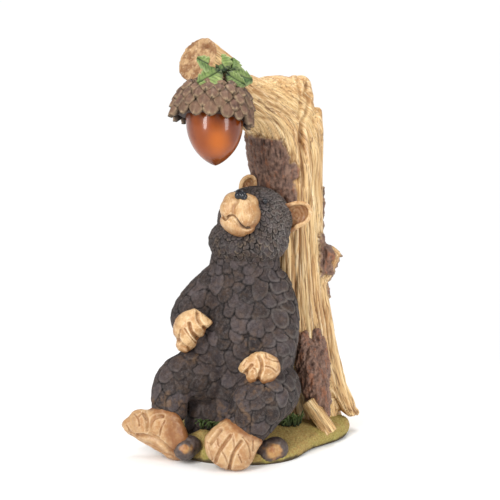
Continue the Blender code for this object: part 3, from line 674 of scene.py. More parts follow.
def gloss_paint():
    paint = Paint("black gloss", 0.27, 0.5)
    paint.base = paint.mix((0.004, 0.004, 0.005), (0.016, 0.018, 0.024), paint.noise(300.0, 3.0))
    paint.bump(paint.noise(1200.0, 2.0), 0.015)
    return paint.finished()


def moss_paint():
    paint = Paint("moss paint", 0.75, 0.2)
    paint.base = paint.mix((0.34, 0.285, 0.075), (0.36, 0.225, 0.075), paint.spots(38.0, 4.0, 0.42, 0.60))
    paint.coat((0.46, 0.40, 0.14), paint.spots(750.0, 4.0, 0.42, 0.62), 0.55)
    paint.coat((0.055, 0.040, 0.015), paint.between(paint.cells(520.0), 0.30, 0.10), 0.45)
    paint.coat((0.050, 0.038, 0.016), "groove", 0.75)
    # Painted shade: dark brown along the foot of the mound, where it meets the floor
    paint.coat((0.075, 0.055, 0.030), "edge")
    paint.bump(paint.noise(620.0, 5.0), 1.0)
    return paint.finished()


def cap_paint():
    paint = Paint("acorn cap paint", 0.58, 0.3)
    soft = paint.spots(210.0, 5.0, 0.36, 0.62, 0.65)
    paint.base = paint.mix((0.066, 0.032, 0.024), (0.160, 0.084, 0.058), soft)
    paint.coat((0.22, 0.130, 0.072), "tint", 0.45)
    worn = paint.plus(paint.times(paint.spots(420.0, 5.0, 0.50, 0.64, 0.7), 0.6), 0.35)
    paint.coat((0.44, 0.33, 0.20), paint.times(paint.attribute("rim"), worn))
    paint.coat((0.016, 0.010, 0.008), "groove")
    paint.bump(paint.noise(650.0, 6.0, roughness=0.7), 0.6)
    return paint.finished()


def leaf_paint():
    paint = Paint("leaf paint", 0.48, 0.35)
    # Lit and shaded copies of one green: each leaf half gets painted light by its own share, and painted
    # shade for the rest
    soft = paint.spots(150.0, 3.0, 0.35, 0.65)
    dark = paint.mix((0.016, 0.055, 0.016), (0.050, 0.125, 0.030), soft)
    painted_light = paint.mix((0.130, 0.200, 0.045), (0.270, 0.335, 0.105), soft)
    paint.base = paint.over(dark, painted_light, "painted_light")
    paint.coat((0.44, 0.52, 0.22), "rim", 0.45)
    # The groove coat darkens the midrib and veins, and is painted shade at the root and on the underside
    paint.coat((0.008, 0.018, 0.008), "groove")
    paint.bump(paint.noise(700.0, 3.0), 0.25)
    return paint.finished()


def grass_paint():
    paint = Paint("grass paint", 0.55, 0.3)
    tips = paint.attribute("tip")
    # Painted shade: near black at the feet of the blades, lighter towards their tips
    paint.base = paint.mix((0.012, 0.018, 0.008), (0.070, 0.110, 0.030), tips)
    paint.coat((0.26, 0.30, 0.11), paint.times(paint.spots(300.0, 3.0, 0.50, 0.68), tips), 0.6)
    return paint.finished()


def nut_paint():
    """The small acorns: a dark mauve-brown skin with a painted orange highlight in the middle."""
    paint = Paint("nut paint", 0.38, 0.45)
    soft = paint.spots(240.0, 4.0, 0.35, 0.65)
    paint.base = paint.mix((0.052, 0.036, 0.034), (0.095, 0.066, 0.052), soft)
    # Painted highlight: orange in the middle of the side that faces the front view
    paint.coat(paint.mix((0.30, 0.12, 0.035), (0.44, 0.25, 0.09), soft), "painted_highlight")
    paint.coat((0.020, 0.016, 0.016), "groove", 0.8)
    paint.bump(paint.noise(500.0, 4.0), 0.3)
    return paint.finished()


def amber():
    """See-through amber plastic: its colour varies, with a painted glow in its middle and painted shade at
    its tip and under the cap, and how much light it lets through is one value.
    """
    paint = Paint("amber plastic", 0.30, 0.25)
    paint.base = paint.mix((0.23, 0.038, 0.001), (0.37, 0.072, 0.001), paint.spots(45.0, 3.0, 0.38, 0.62))
    # Painted glow round a spot of the front view
    paint.coat((0.70, 0.170, 0.001), "glow", 0.8)
    # Painted shade at the tip and at the mouth under the cap
    paint.coat((0.12, 0.028, 0.006), "edge")
    paint.set("Transmission Weight", 0.40)
    paint.set("IOR", 1.47)
    paint.set("Coat Weight", 0.55)
    paint.set("Coat Roughness", 0.05)
    return paint.finished()


CELL_STRIPS = 4
WIRE_HALF = 0.35
FINGER_GAP = 1.1
FINGER_HALF = 0.16


def panel_paint():
    """Dark cells with silver wires between them, inside a black frame."""
    paint = Paint("solar cells", 0.18, 0.5)
    centre = (PANEL_CENTRE - DRAWN_MIDDLE) * MM
    across, up = (paint.along(centre, axis) for axis in panel_axes()[:2])
    half_wide = (PANEL_WIDTH / 2 - PANEL_FRAME) * MM
    half_long = (PANEL_LENGTH / 2 - PANEL_FRAME) * MM
    inside_wide = paint.between(paint.maths("ABSOLUTE", across), half_wide, half_wide - 0.2 * MM)
    inside_long = paint.between(paint.maths("ABSOLUTE", up), half_long, half_long - 0.2 * MM)
    cell = paint.times(inside_wide, inside_long)
    strip = 2 * half_wide / CELL_STRIPS
    gap = paint.maths("PINGPONG", paint.plus(across, CELL_STRIPS * strip), strip / 2)
    finger = paint.maths("PINGPONG", paint.plus(up, half_long), FINGER_GAP * MM)
    wires = paint.times(paint.between(gap, WIRE_HALF * MM, 0.20 * MM), cell)
    fingers = paint.times(paint.between(finger, FINGER_HALF * MM, 0.08 * MM), cell)
    crystals = paint.between(paint.cells(420.0), 0.15, 0.50)
    silicon = paint.mix((0.008, 0.016, 0.060), (0.016, 0.034, 0.115), crystals)
    paint.base = paint.mix((0.012, 0.012, 0.013), silicon, cell)
    paint.coat((0.10, 0.13, 0.20), fingers, 0.6)
    paint.coat((0.42, 0.43, 0.45), wires)
    paint.bump(paint.noise(900.0, 3.0), 0.04)
    return paint.finished()


# The bear

def turned_head_axes():
    """Rows: the head's left side, its front and its crown."""
    level_side = np.array((math.cos(HEAD_YAW), -math.sin(HEAD_YAW), 0.0))
    level_front = np.array((-math.sin(HEAD_YAW), -math.cos(HEAD_YAW), 0.0))
    front = level_front * math.cos(HEAD_PITCH) + UP * math.sin(HEAD_PITCH)
    crown = UP * math.cos(HEAD_PITCH) - level_front * math.sin(HEAD_PITCH)
    side = level_side * math.cos(HEAD_ROLL) - crown * math.sin(HEAD_ROLL)
    return np.array([side, front, crown * math.cos(HEAD_ROLL) + level_side * math.sin(HEAD_ROLL)])


HEAD_AXES = turned_head_axes()


def head_point(side, front, up):
    """A point of the head, from its middle."""
    return HEAD_CENTRE + np.array((side, front, up)) @ HEAD_AXES


def head_ball(side, front, up, radii):
    return ball(head_point(side, front, up), radii, HEAD_AXES)


def body_shells():
    torso = [
        ball((3, 5, 78), (38, 34, 50), BEAR_AXES),
        ball((1, 6, 42), (41, 36, 34), BEAR_AXES),
        ball((-6, -5, 28), (34, 25, 25), BEAR_AXES),
        ball((-27, -11, 22), (15, 15, 20), BEAR_AXES),
        ball((0, 7, 112), (30, 26, 32), BEAR_AXES),
        ball((-27, -2, 75), (13, 14, 17)),
        ball((-37, -8, 35), (10, 10, 14)),
        limb([(0, 9, 118, 26, 23), (3, 6, 140, 25, 23)]),
    ]
    right_arm = limb([(-17, 7, 123, 12.5, 12.5), (-28.5, 4, 112, 12.8, 12.5), (-37.5, -2, 98, 14, 13),
                      (-36, -11, 92, 12, 12)])
    left_arm = limb([(22, 4, 122, 12, 12), (28, -2, 108, 12, 12), (29, -12, 90, 12.5, 12.5),
                     (25, -25, 77, 12, 12), (18, -33, 71, 10.5, 10.5)])
    right_leg = limb([(-20, -2, 48, 23, 23), (-34, -11, 55, 19, 20), (-47, -19, 53, 15.8, 16.5),
                      (-51.5, -24, 41, 13.4, 14), (-51, -25, 34, 12.5, 12)])
    left_leg = limb([(18, 2, 42, 24, 24), (19, -16, 46, 23, 23), (14, -33, 45, 21, 21),
                     (7, -42, 34, 18, 17), (2, -45, 27, 15.5, 12)])
    return torso + [right_arm, left_arm, right_leg, left_leg]


def head_shells():
    return [
        ball((9.5, 6, 165.5), (27, 26, 26)),
        ball((5.0, 3, 152.5), (29, 25, 18.5)),
        limb([(2, 8, 135, 22, 20), (4, 6, 150, 25, 22)]),
    ]


def furred(made, flow, sizes, slender, lifted, seed):
    """Carves a coat of scales with dark cracks below their edges."""
    height, tint, rim, owner = overlapping_scales(made, flow, sizes, slender, seed)
    crack = made.borders(owner, height) * (0.35 + 0.65 * ramp(noise_at(made.points / 7.0, 61.0), -0.35, 0.15))
    height = made.blurred(height, 1)
    rough = 0.12 * noise_at(made.points / 1.5, 2.0) + 0.20 * noise_at(made.points / 3.4, 12.0)
    made.carve((height - 0.45) * lifted * (0.7 + 0.13 * sizes) + rough - 0.45 * crack, depth=0.50)
    crack = np.clip(1.25 * made.blurred(crack, 1), 0.0, 1.0)
    made.paint["groove"] = np.maximum(0.80 * made.paint["groove"], crack)
    made.paint["tint"] = 1.25 * tint ** 1.5
    made.paint["ridge"] = np.maximum(made.paint["ridge"], 0.8 * rim) * (1.0 - crack)
    made.paint["dust"] = np.clip(0.25 + near_bare(made.points), 0.0, 1.0)
    return made


# Spots of the front view where dust shows on the fur, and how many pixels each reaches
BARE_SPOTS = [((190.0, 350.0), 14.0), ((260.0, 385.0), 20.0), ((168.0, 410.0), 22.0), ((232.0, 418.0), 22.0),
              ((250.0, 345.0), 12.0), ((300.0, 262.0), 10.0)]


def near_bare(points):
    """From 0 to 1, how near each point lies to the paws and feet, where dust shows."""
    seen = seen_at(points)
    shares = [1.0 - ramp(np.linalg.norm(seen - middle, axis=1), 0.4 * reach, 1.3 * reach)
              for middle, reach in BARE_SPOTS]
    return np.maximum.reduce(shares)


def body():
    made = skin(body_shells(), 0.84, 8)
    outward = made.points - np.array((3.0, 8.0, 0.0))
    outward[:, 2] = 0.0
    flow = np.array((0.0, 0.0, -1.0)) + 0.35 * outward / (np.linalg.norm(outward, axis=1)[:, None] + 1e-6)
    sizes = 12.0 - 4.5 * ramp(made.points[:, 2], 122.0, 138.0)
    furred(made, flow, sizes, 1.05, 0.80, 4)
    made.paint["brush"] = 0.10 + 0.30 * ramp(made.points[:, 0], -5.0, 45.0)
    made.paint["curl"] = np.zeros(len(made.points))
    return made


def head():
    made = skin(head_shells(), 0.56, 6)
    from_face = made.points - head_point(0.0, 40.0, 10.0)
    from_face /= np.linalg.norm(from_face, axis=1)[:, None]
    flow = from_face + np.array((0.0, 0.0, -0.6))
    lower = ramp(-made.points[:, 2], -160.0, -146.0)
    sizes = 4.1 + 2.0 * lower
    rim_before = furred(made, flow, sizes, 1.28, 1.25, 9).paint["ridge"]
    seen = seen_at(made.points)
    collar = np.exp(-((seen[:, 1] - 248.0) / 14.0) ** 2) * (1.0 - ramp(seen[:, 0], 262.0, 280.0))
    patchy = ramp(noise_at(made.points / 5.0, 71.0), 0.0, 0.35)
    made.paint["curl"] = rim_before * collar * patchy
    made.paint["brush"] = 0.40 + 0.80 * ramp(seen[:, 0], 252.0, 282.0)
    right = ramp(seen[:, 0] - 0.35 * seen[:, 1], 170.0, 205.0)
    made.paint["tint"] = np.clip(made.paint["tint"] * (0.75 + 0.9 * right) + 0.25 * right, 0.0, 1.6)
    return made


def stain_beside_fur(made, fur_tree):
    """Notes how near each point lies to the fur."""
    places = (made.points - DRAWN_MIDDLE) * MM
    away = np.array([fur_tree.find(place)[2] for place in places.tolist()]) / MM
    beside = 1.0 - ramp(away + 1.2 * noise_at(made.points / 3.0, 44.0), 0.8, 5.5)
    made.paint["border"] = np.clip(np.maximum(made.paint.get("border", 0.0), beside), 0.0, 1.0)
    made.paint.setdefault("dark", np.zeros(len(away)))


def muzzle_shells():
    return [
        head_ball(0, 24, 2.5, (14.0, 13.0, 12.0)),
        head_ball(5.6, 29, 0.8, (8.6, 9.0, 8.6)),
        head_ball(-5.6, 29, 0.8, (8.6, 9.0, 8.6)),
        head_ball(0, 29, 6.0, (8.0, 9.0, 6.0)),
        head_ball(0.5, 30, 9.0, (6.5, 7.0, 4.5)),
        head_ball(0.0, 24, -8.5, (11.0, 11.0, 6.0)),
        pillow(MUZZLE, (239.5, 214.0), (-13.0, 0.0, 0.02), 13.0, 6.0),
        ball(placed((246.8, 226.4), -18.5), (6.0, 8.0, 5.6)),
    ]


# The muzzle on the front view: its outline, the mouth, its right corner and the line under the nose
MUZZLE = [(219.9, 208.3), (222.5, 201.0), (226.4, 194.5), (234.9, 191.5), (250.8, 194.2), (257.6, 199.0),
          (259.2, 207.0), (259.0, 215.0), (256.6, 222.6), (254.2, 230.2), (247.0, 235.0), (238.1, 232.8),
          (229.3, 227.8), (222.4, 220.6)]
MOUTH = [(220.5, 214.9), (222.8, 217.6), (225.0, 219.4), (228.5, 216.6), (232.5, 215.6), (235.5, 218.4),
         (238.5, 222.4), (242.0, 226.4), (246.5, 228.8), (250.8, 227.8)]
SMILE = [(250.8, 227.8), (254.3, 225.0), (255.4, 221.2)]
PHILTRUM = [(237.3, 201.0), (233.3, 207.5), (232.8, 214.9)]
MOUTH_PITS = ((224.6, 218.8), (248.0, 228.2))
# The middles of the curved strokes on the cheeks and chin, and how many pixels they reach
CHEEKS = (((246.0, 211.0), 9.0), ((226.9, 205.5), 8.0), ((234.9, 226.8), 7.0))


def muzzle():
    made = skin(muzzle_shells(), 0.46, 3)
    seen = seen_at(made.points)
    strokes = np.zeros(len(seen))
    for middle, span in CHEEKS:
        offset = (seen - middle) * (1.25, 0.50)
        away = np.linalg.norm(offset, axis=1)
        turn = np.arctan2(offset[:, 1], offset[:, 0])
        lines = noise_at(np.column_stack([away * 1.25, np.cos(turn) * 0.8, np.sin(turn) * 0.8]), middle[0])
        strokes += lines * (1.0 - ramp(away, span * 0.7, span * 1.1))
    mouth = grooves(made, [MOUTH], 1.35, 1.0)
    for middle in MOUTH_PITS:
        pit = seen_from(made, middle, (0.8, 1.0)) * MM_PER_PIXEL
        mouth = np.maximum(mouth, (1.0 - ramp(pit, 0.5, 1.5)) * faces_front(made.normals))
    lip = np.maximum(grooves(made, [PHILTRUM], 2.6, 0.9), grooves(made, [SMILE], 1.2, 0.8))
    made.carve(0.30 * strokes * faces_front(made.normals) - np.maximum(1.5 * mouth, lip), depth=0.42)
    made.paint["dark"] = ramp(mouth, 0.45, 0.95) * (0.35 + 0.5 * ramp(seen[:, 0], 232.0, 240.0))
    edge = 1.0 - ramp(inside_outline(seen, MUZZLE), 0.3, 3.4)
    edge *= 0.25 + 0.75 * ramp(seen[:, 0] + 0.6 * seen[:, 1], 372.0, 388.0)
    # Painted shade: the muzzle's underside, where it faces down, gets the brown wash
    chin_shade = 0.6 * ramp(-made.normals[:, 2], 0.1, 0.8)
    made.paint["border"] = np.maximum(np.maximum(0.5 * ramp(lip, 0.3, 0.9), chin_shade), 0.75 * edge)
    return made


# An ear's rim on the front view, the middle of its bowl, its distance along Y, its rim and its depth
EARS = {
    "bear_left_ear": ([(285.5, 206.0), (290.5, 204.4), (297.9, 203.0), (305.4, 204.0), (309.3, 208.6),
                       (309.8, 214.0), (308.3, 219.0), (304.6, 222.8), (298.7, 225.6), (291.2, 230.2),
                       (286.0, 228.0)], (296.5, 215.5), 0.9, 1.15, 4.2),
    "bear_right_ear": ([(240.6, 190.0), (241.9, 182.2), (246.0, 177.6), (250.8, 176.4), (254.2, 179.0),
                        (255.0, 184.5), (254.4, 190.0)], (248.6, 184.5), 24.9, 1.1, 2.2),
}


def ear(outline, middle, away, rim, deep):
    """A thin cupped ear that is open to the front, with swirls in its bowl."""
    loop = smooth_rows([*outline, outline[0]], 4)[:-1]
    middle = np.array(middle, float)
    rings = []
    for sheet, shares in ((-0.2, np.linspace(0.08, 1.0, 9)), (1.7, np.linspace(1.0, 0.08, 9))):
        for share in shares:
            cup = away + sheet + deep * (1.0 - share ** 2)
            rings.append([placed(seen, cup) for seen in middle + (loop - middle) * share])
    rows = [(*placed(seen, away), rim, rim * 1.5) for seen in outline]
    made = skin([rings_to_shell(rings), limb(rows, side=(0.3, 0.9, 0.4), sides=16)], 0.36, 3)
    bowl = ramp(inside_outline(seen_at(made.points), loop), 0.8, 1.7) * faces_front(made.normals)
    swirl = np.cos(1.5 * seen_from(made, middle, (1.25, 0.85)) + 1.8 * noise_at(made.points / 4.0, 8.0))
    made.carve(0.15 * swirl * bowl + 0.16 * noise_at(made.points / 1.7, 5.0), depth=0.30)
    made.paint["border"] = bowl * (0.80 + 0.20 * np.clip(-swirl, 0.0, 1.0))
    return made


# The paws and feet on the front view: their outlines, wide grooves and thin lines
RIGHT_PAW = [(172.8, 330.1), (174.5, 321.5), (179.6, 314.6), (185.7, 311.2), (193.4, 308.6), (197.7, 310.3),
             (205.5, 315.5), (212.2, 321.5), (211.6, 324.3), (207.2, 328.4), (205.1, 331.5), (202.9, 336.2),
             (197.9, 339.2), (194.9, 346.6), (188.8, 351.5), (184.8, 353.0), (178.2, 350.2), (175.8, 345.7),
             (176.4, 339.6), (173.2, 334.0)]
LEFT_PAW = [(238.2, 368.0), (240.4, 363.2), (246.4, 357.4), (253.7, 352.7), (259.7, 351.7), (266.6, 352.5),
            (273.5, 355.6), (278.0, 359.4), (280.4, 365.5), (280.0, 372.4), (276.1, 377.8), (271.4, 382.7),
            (264.4, 385.2), (258.9, 383.3), (254.2, 383.0), (250.0, 383.4), (246.5, 379.2), (245.4, 374.6),
            (242.0, 373.0), (239.1, 370.8)]
RIGHT_FOOT = [(121.5, 424.8), (124.0, 429.6), (128.4, 434.0), (135.7, 438.6), (143.3, 443.2), (153.3, 448.6),
              (162.4, 453.9), (168.6, 458.2), (174.7, 460.2), (182.0, 459.6), (189.0, 452.0), (190.0, 440.0),
              (184.0, 424.0), (176.5, 412.0), (166.0, 406.0), (154.8, 406.6), (147.1, 409.6), (139.5, 408.8),
              (133.4, 411.1), (127.2, 417.4), (122.9, 421.4)]
LEFT_FOOT = [(226.0, 418.0), (215.1, 425.8), (206.2, 434.7), (204.4, 440.5), (205.0, 448.5), (207.4, 455.9),
             (212.4, 461.9), (218.6, 466.6), (227.2, 469.8), (236.5, 471.0), (244.4, 469.3), (249.9, 465.3),
             (254.4, 457.0), (258.4, 448.4), (262.6, 441.0), (256.0, 430.0), (242.0, 420.0)]


def right_paw_shells():
    return [pillow(RIGHT_PAW, (190.0, 331.5), (-17.5, -0.05, 0.0), 10.5, 8.0)]


def left_paw_shells():
    return [pillow(LEFT_PAW, (260.5, 368.0), (-42.0, 0.05, 0.0), 9.5, 8.0)]


def right_foot_shells():
    return [
        pillow(RIGHT_FOOT, (156.0, 432.5), (-30.0, -0.20, -0.06), 12.5, 10.0),
        ball(placed((140.4, 422.5), -34.0), (6.4, 4.4, 7.4), BEAR_AXES),
        ball(placed((156.2, 428.2), -38.8), (5.6, 4.4, 8.0), BEAR_AXES),
        ball(placed((129.5, 425.5), -29.0), (5.0, 4.2, 5.2), BEAR_AXES),
    ]


def left_foot_shells():
    return [pillow(LEFT_FOOT, (231.5, 446.0), (-53.0, 0.05, -0.26), 12.0, 10.0)]


RIGHT_PAW_GROOVES = [
    [(197.9, 312.0), (199.0, 320.5), (204.8, 328.5)],
    [(189.1, 323.5), (191.2, 331.5), (197.2, 338.5)],
    [(177.5, 340.0), (182.2, 346.0), (188.6, 349.4)],
]
RIGHT_PAW_LINES = [
    [(184.5, 329.0), (189.5, 336.0), (195.6, 342.6)],
    [(180.0, 330.0), (178.8, 337.0), (181.0, 341.0)],
]
LEFT_PAW_GROOVES = [
    [(251.5, 365.5), (247.2, 370.5), (245.0, 374.5)],
    [(258.9, 355.6), (261.5, 362.0), (261.9, 368.9), (259.2, 375.8), (257.8, 383.0)],
]
LEFT_PAW_LINES = [
    [(247.2, 372.0), (250.8, 368.2), (254.8, 369.5), (256.4, 374.0), (256.6, 381.0)],
    [(265.8, 366.3), (271.8, 368.0), (276.6, 372.0)],
    [(265.8, 353.6), (267.5, 357.7), (272.7, 360.3), (278.0, 361.6)],
    [(246.0, 360.6), (243.0, 365.0)],
]
# A spot of the front view, and how many pixels the wash around it reaches
NO_WASH = ((0.0, 0.0), 1.0)
ANKLE_WASH = ((184.0, 428.0), 26.0)
RIGHT_FOOT_GROOVES = [
    [(162.5, 416.0), (154.8, 417.2), (150.0, 424.1), (149.0, 431.7), (151.7, 436.3), (157.8, 438.6)],
    [(144.1, 412.6), (147.1, 420.2), (147.1, 431.0)],
    [(137.2, 435.6), (147.9, 436.6), (157.8, 440.4), (164.7, 445.5), (171.6, 451.4), (179.0, 452.6)],
]
RIGHT_FOOT_LINES = [
    [(164.7, 421.0), (161.7, 427.1), (159.4, 435.5)],
    [(134.1, 414.1), (138.0, 419.5), (139.0, 426.0)],
    [(145.6, 410.3), (137.2, 417.2)],
    [(126.5, 425.6), (130.3, 431.7), (134.4, 434.4)],
    [(130.3, 434.8), (140.2, 440.9), (153.3, 445.8), (164.0, 453.1), (173.1, 456.4)],
]
LEFT_FOOT_GROOVES = [
    [(220.5, 429.8), (215.1, 436.5), (209.7, 443.8)],
    [(230.5, 435.8), (223.1, 445.2), (218.4, 453.2), (215.1, 461.9)],
    [(241.9, 441.2), (235.2, 450.5), (231.8, 458.6), (229.2, 469.3)],
]
LEFT_FOOT_LINES = [
    [(217.1, 438.5), (218.1, 444.5), (220.5, 447.9)],
    [(221.8, 451.9), (225.1, 457.2), (227.8, 464.6)],
    [(232.5, 434.5), (234.2, 442.5), (234.5, 447.9)],
    [(238.5, 454.6), (241.9, 462.6)],
    [(243.2, 437.2), (248.6, 445.2), (250.6, 454.6), (249.9, 458.6)],
    [(253.6, 440.8), (253.4, 451.0)],
    [(207.1, 442.5), (209.1, 450.5), (212.4, 459.9)],
]


def bare_part(shells, thick, thin, washed=NO_WASH):
    """A paw or foot with its grooves, and a brown wash around one spot. The feet are browner all over."""
    made = skin(shells, 0.52, 3)
    cut = np.maximum(grooves(made, thick, 2.2, 2.1), grooves(made, thin, 1.0, 0.9))
    soft = 0.38 * noise_at(made.points / 3.4, 4.0) + 0.12 * noise_at(made.points / 1.2, 14.0)
    made.carve(soft - cut, depth=0.50)
    spot, reach = washed
    away = seen_from(made, spot, (1.0, 0.55))
    low = 0.34 * (1.0 - ramp(made.points[:, 2], 45.0, 55.0))
    made.paint["border"] = np.maximum(1.0 - ramp(away, 0.55 * reach, reach), low)
    return made


# A lump of the nose or an eye: its pixel on the front view, its distance along Y and its radii
NOSE = [
    ((241.0, 194.4), -22.0, (4.5, 3.6, 3.5)),
    ((238.2, 195.6), -24.2, (2.5, 2.4, 2.7)),
    ((243.6, 196.6), -24.2, (2.8, 2.4, 2.8)),
]
NOSTRILS = [(238.5, 197.1), (243.6, 197.5)]
EYES = [
    ((264.8, 201.2), -14.6, (2.1, 2.1, 2.2)),
    ((240.8, 196.5), -7.0, (2.0, 2.0, 2.0)),
]


def placed_balls(rows):
    return [ball(placed(seen, away), radii, HEAD_AXES) for seen, away, radii in rows]


def nose():
    made = skin(placed_balls(NOSE), 0.30, 3)
    dent = np.zeros(len(made.points))
    for middle in NOSTRILS:
        dent = np.maximum(dent, 0.5 * (1.0 - ramp(seen_from(made, middle) * MM_PER_PIXEL, 0.3, 1.3)))
    made.carve(-dent * faces_front(made.normals))
    return made


def add_bear():
    fur = fur_paint()
    bare = skin_paint()
    gloss = gloss_paint()
    furs = [("bear_body", body()), ("bear_head", head())]
    fur_tree = KDTree(sum(len(made.points) for _, made in furs))
    start = 0
    for name, made in furs:
        piece = add_skin(name, made, fur, "dark_fur")
        for vert in piece.data.vertices:
            fur_tree.insert(vert.co, start + vert.index)
        start += len(made.points)
    fur_tree.balance()
    bare_parts = [
        ("bear_muzzle", muzzle()),
        *[(name, ear(*shape)) for name, shape in EARS.items()],
        ("bear_right_paw", bare_part(right_paw_shells(), RIGHT_PAW_GROOVES, RIGHT_PAW_LINES)),
        ("bear_left_paw", bare_part(left_paw_shells(), LEFT_PAW_GROOVES, LEFT_PAW_LINES)),
        ("bear_right_foot", bare_part(right_foot_shells(), RIGHT_FOOT_GROOVES, RIGHT_FOOT_LINES, ANKLE_WASH)),
        ("bear_left_foot", bare_part(left_foot_shells(), LEFT_FOOT_GROOVES, LEFT_FOOT_LINES)),
    ]
    for name, made in bare_parts:
        stain_beside_fur(made, fur_tree)
        add_skin(name, made, bare, "bare_skin")
    add_skin("bear_nose", nose(), gloss, "glossy_black")
    add_piece("bear_eyes", *joined(placed_balls(EYES)), gloss, "glossy_black")


# The tree

# A row of a limb is x, y, z, its half width and its half depth
TRUNK_ROWS = [
    (43, 42, -8, 38, 34), (42, 42, 10, 33, 31), (40.5, 42, 40, 29.5, 28), (39, 42, 80, 27.5, 26),
    (36.5, 42, 130, 25.5, 25), (34, 42, 180, 24, 24), (31.5, 40, 212, 25.5, 24),
    (24, 35, 235, 23, 22), (9, 24, 249, 19.5, 18), (-6.5, 13, 259, 17, 16.5),
    (-18.5, 1, 273, 16.8, 16.4), (-31, -12, 283.5, 16.4, 16.4),
]
TRUNK_END = np.array(TRUNK_ROWS[-1][:3], float)
TRUNK_BEFORE_END = np.array(TRUNK_ROWS[-2][:3], float)
# The bark patch behind the head. Its left edge runs past the trunk's outline.
BARK_PATCH = [(236.0, 127.0), (254.6, 136.7), (267.7, 138.4), (280.7, 140.0), (287.2, 148.2), (291.3, 161.2),
              (297.9, 164.5), (296.2, 174.3), (294.6, 188.0), (297.0, 205.0), (297.0, 218.0), (244.0, 218.0)]
# The main grooves of the wood and the split beside the stub, on the front view
WOOD_GROOVES = [
    [(253.8, 90.2), (275.8, 100.8)],
    [(259.5, 100.8), (284.0, 110.6), (297.0, 127.0), (302.8, 141.6)],
    [(255.4, 117.0), (275.8, 122.0), (288.0, 138.4), (293.8, 158.0), (299.5, 182.4)],
    [(294.6, 73.0), (300.3, 92.7), (299.5, 117.0)],
]
FISSURE = [(310.1, 93.5), (306.8, 112.2), (302.8, 122.0), (304.4, 141.6), (306.8, 162.0)]
DEEP_SPLIT = [(49.5, 28, 262), (47.5, 20, 243), (45, 18, 226), (47.0, 17, 205), (48.0, 18, 190)]
# The point around which the trunk's grain bends into the branch, along X and Z
BEND_MIDDLE = (-42.0, 205.0)
END_HOLE = (206.2, 45.0)
END_PIT = (189.5, 57.4)


def tree_shells():
    return [
        limb(TRUNK_ROWS, flat_start=True, flat_end=True, sides=64, steps=10),
        limb([(36, 40, 200, 18, 17), (39.5, 38, 235, 14, 13), (41, 37, 253, 11.5, 10.5),
              (41, 36.5, 261, 10, 9)]),
        limb([(14, 27, 252, 15, 13), (27, 32, 254, 15, 13), (38, 36, 253, 13, 12)], side=(0, 0, 1)),
        limb([(50, 44, 150, 11, 14), (51.5, 43, 200, 8.5, 12), (53.6, 42, 232, 6.0, 9),
              (55.2, 42, 242, 4.0, 5)]),
        limb([(50, 42, 108, 11, 11), (61, 40, 127, 9, 9.5), (69, 38, 139, 6.5, 7.5)], flat_end=True),
        limb([(50, 42, 98, 16, 16), (58, 41, 62, 14, 14), (68.5, 38, 35, 11, 11),
              (81, 35, 16, 5.5, 6), (86.5, 34.5, 13, 2.6, 3)]),
        limb([(30, 54, 60, 15, 15), (27, 64, 25, 11, 11), (22, 71, 8, 6, 6)]),
        limb([(60, 50, 50, 13, 13), (68, 62, 22, 9, 9), (72, 68, 8, 5, 5)]),
        limb([(20, 50, 60, 14, 14), (2, 60, 25, 10, 10), (-10, 66, 8, 6, 6)]),
        *panel_boss(),
    ]


def bent_over(points):
    """How far each point is along the wood's grain, and how far out from the middle of its bend."""
    across = points[:, 0] - BEND_MIDDLE[0]
    rise = np.maximum(points[:, 2] - BEND_MIDDLE[1], 0.0)
    out = np.hypot(across, rise)
    return np.minimum(points[:, 2], BEND_MIDDLE[1]) + out * np.arctan2(rise, across), out


def along_tree(points):
    """Where each point is along the wood's grain, and its two distances from the stump's middle line."""
    path = smooth_rows(TRUNK_ROWS, 8)[:, :3]
    path_along, path_out = bent_over(path)
    along, out = bent_over(points)
    offset = np.column_stack([out - np.interp(along, path_along, path_out),
                              points[:, 1] - np.interp(along, path_along, path[:, 1])])
    flare = 1.0 + 0.8 * np.clip(1.0 - points[:, 2] / 100.0, 0.0, 1.0) ** 2
    return along, offset / flare[:, None]


def bark_cover(made):
    """How far each point lies under bark, from 0 to 1."""
    points, normals = made.points, made.normals
    ragged = 3.0 * noise_at(points / 9.0, 31.0) + 2.2 * noise_at(points / 3.5, 7.0)
    x, y, z = points.T
    front = inside_outline(seen_at(points), BARK_PATCH)
    front = np.where((y < 45.0) & (z < 228.0), front, -9.0)
    torn = 9.0 * noise_at(points / (7.0, 7.0, 25.0), 47.0)
    band = np.minimum(187.0 - z, z - 96.0) + torn
    back = np.minimum(normals[:, 1] * 16.0 - 5.0 + 3.0 * normals[:, 0], band)
    stub = np.minimum(np.minimum(z - 121.0, 152.0 - z), np.minimum(x - 57.5, 67.5 - x))
    return ramp(np.maximum(np.maximum(front, back), stub) + ragged, -0.7, 0.7)


def splits(offset, along, wide, long, seed):
    """Narrow cracks along the grain, from 0 to 1."""
    value = noise_at(np.column_stack([offset / wide, along / long]), seed)
    return np.clip(1.0 - np.abs(value) / 0.14, 0.0, 1.0)


def clear_of_panel(points):
    """Presses the wood in front of the panel's face down to it."""
    offset = (points - PANEL_CENTRE) @ panel_axes().T
    beyond = np.maximum(np.abs(offset[:, 0]) - PANEL_WIDTH / 2, np.abs(offset[:, 1]) - PANEL_LENGTH / 2)
    highest = -0.3 + 14.0 * ramp(beyond, 1.5, 8.0)
    over = np.maximum(offset[:, 2] - highest, 0.0) * (beyond < 8.0)
    return points - over[:, None] * panel_axes()[2]


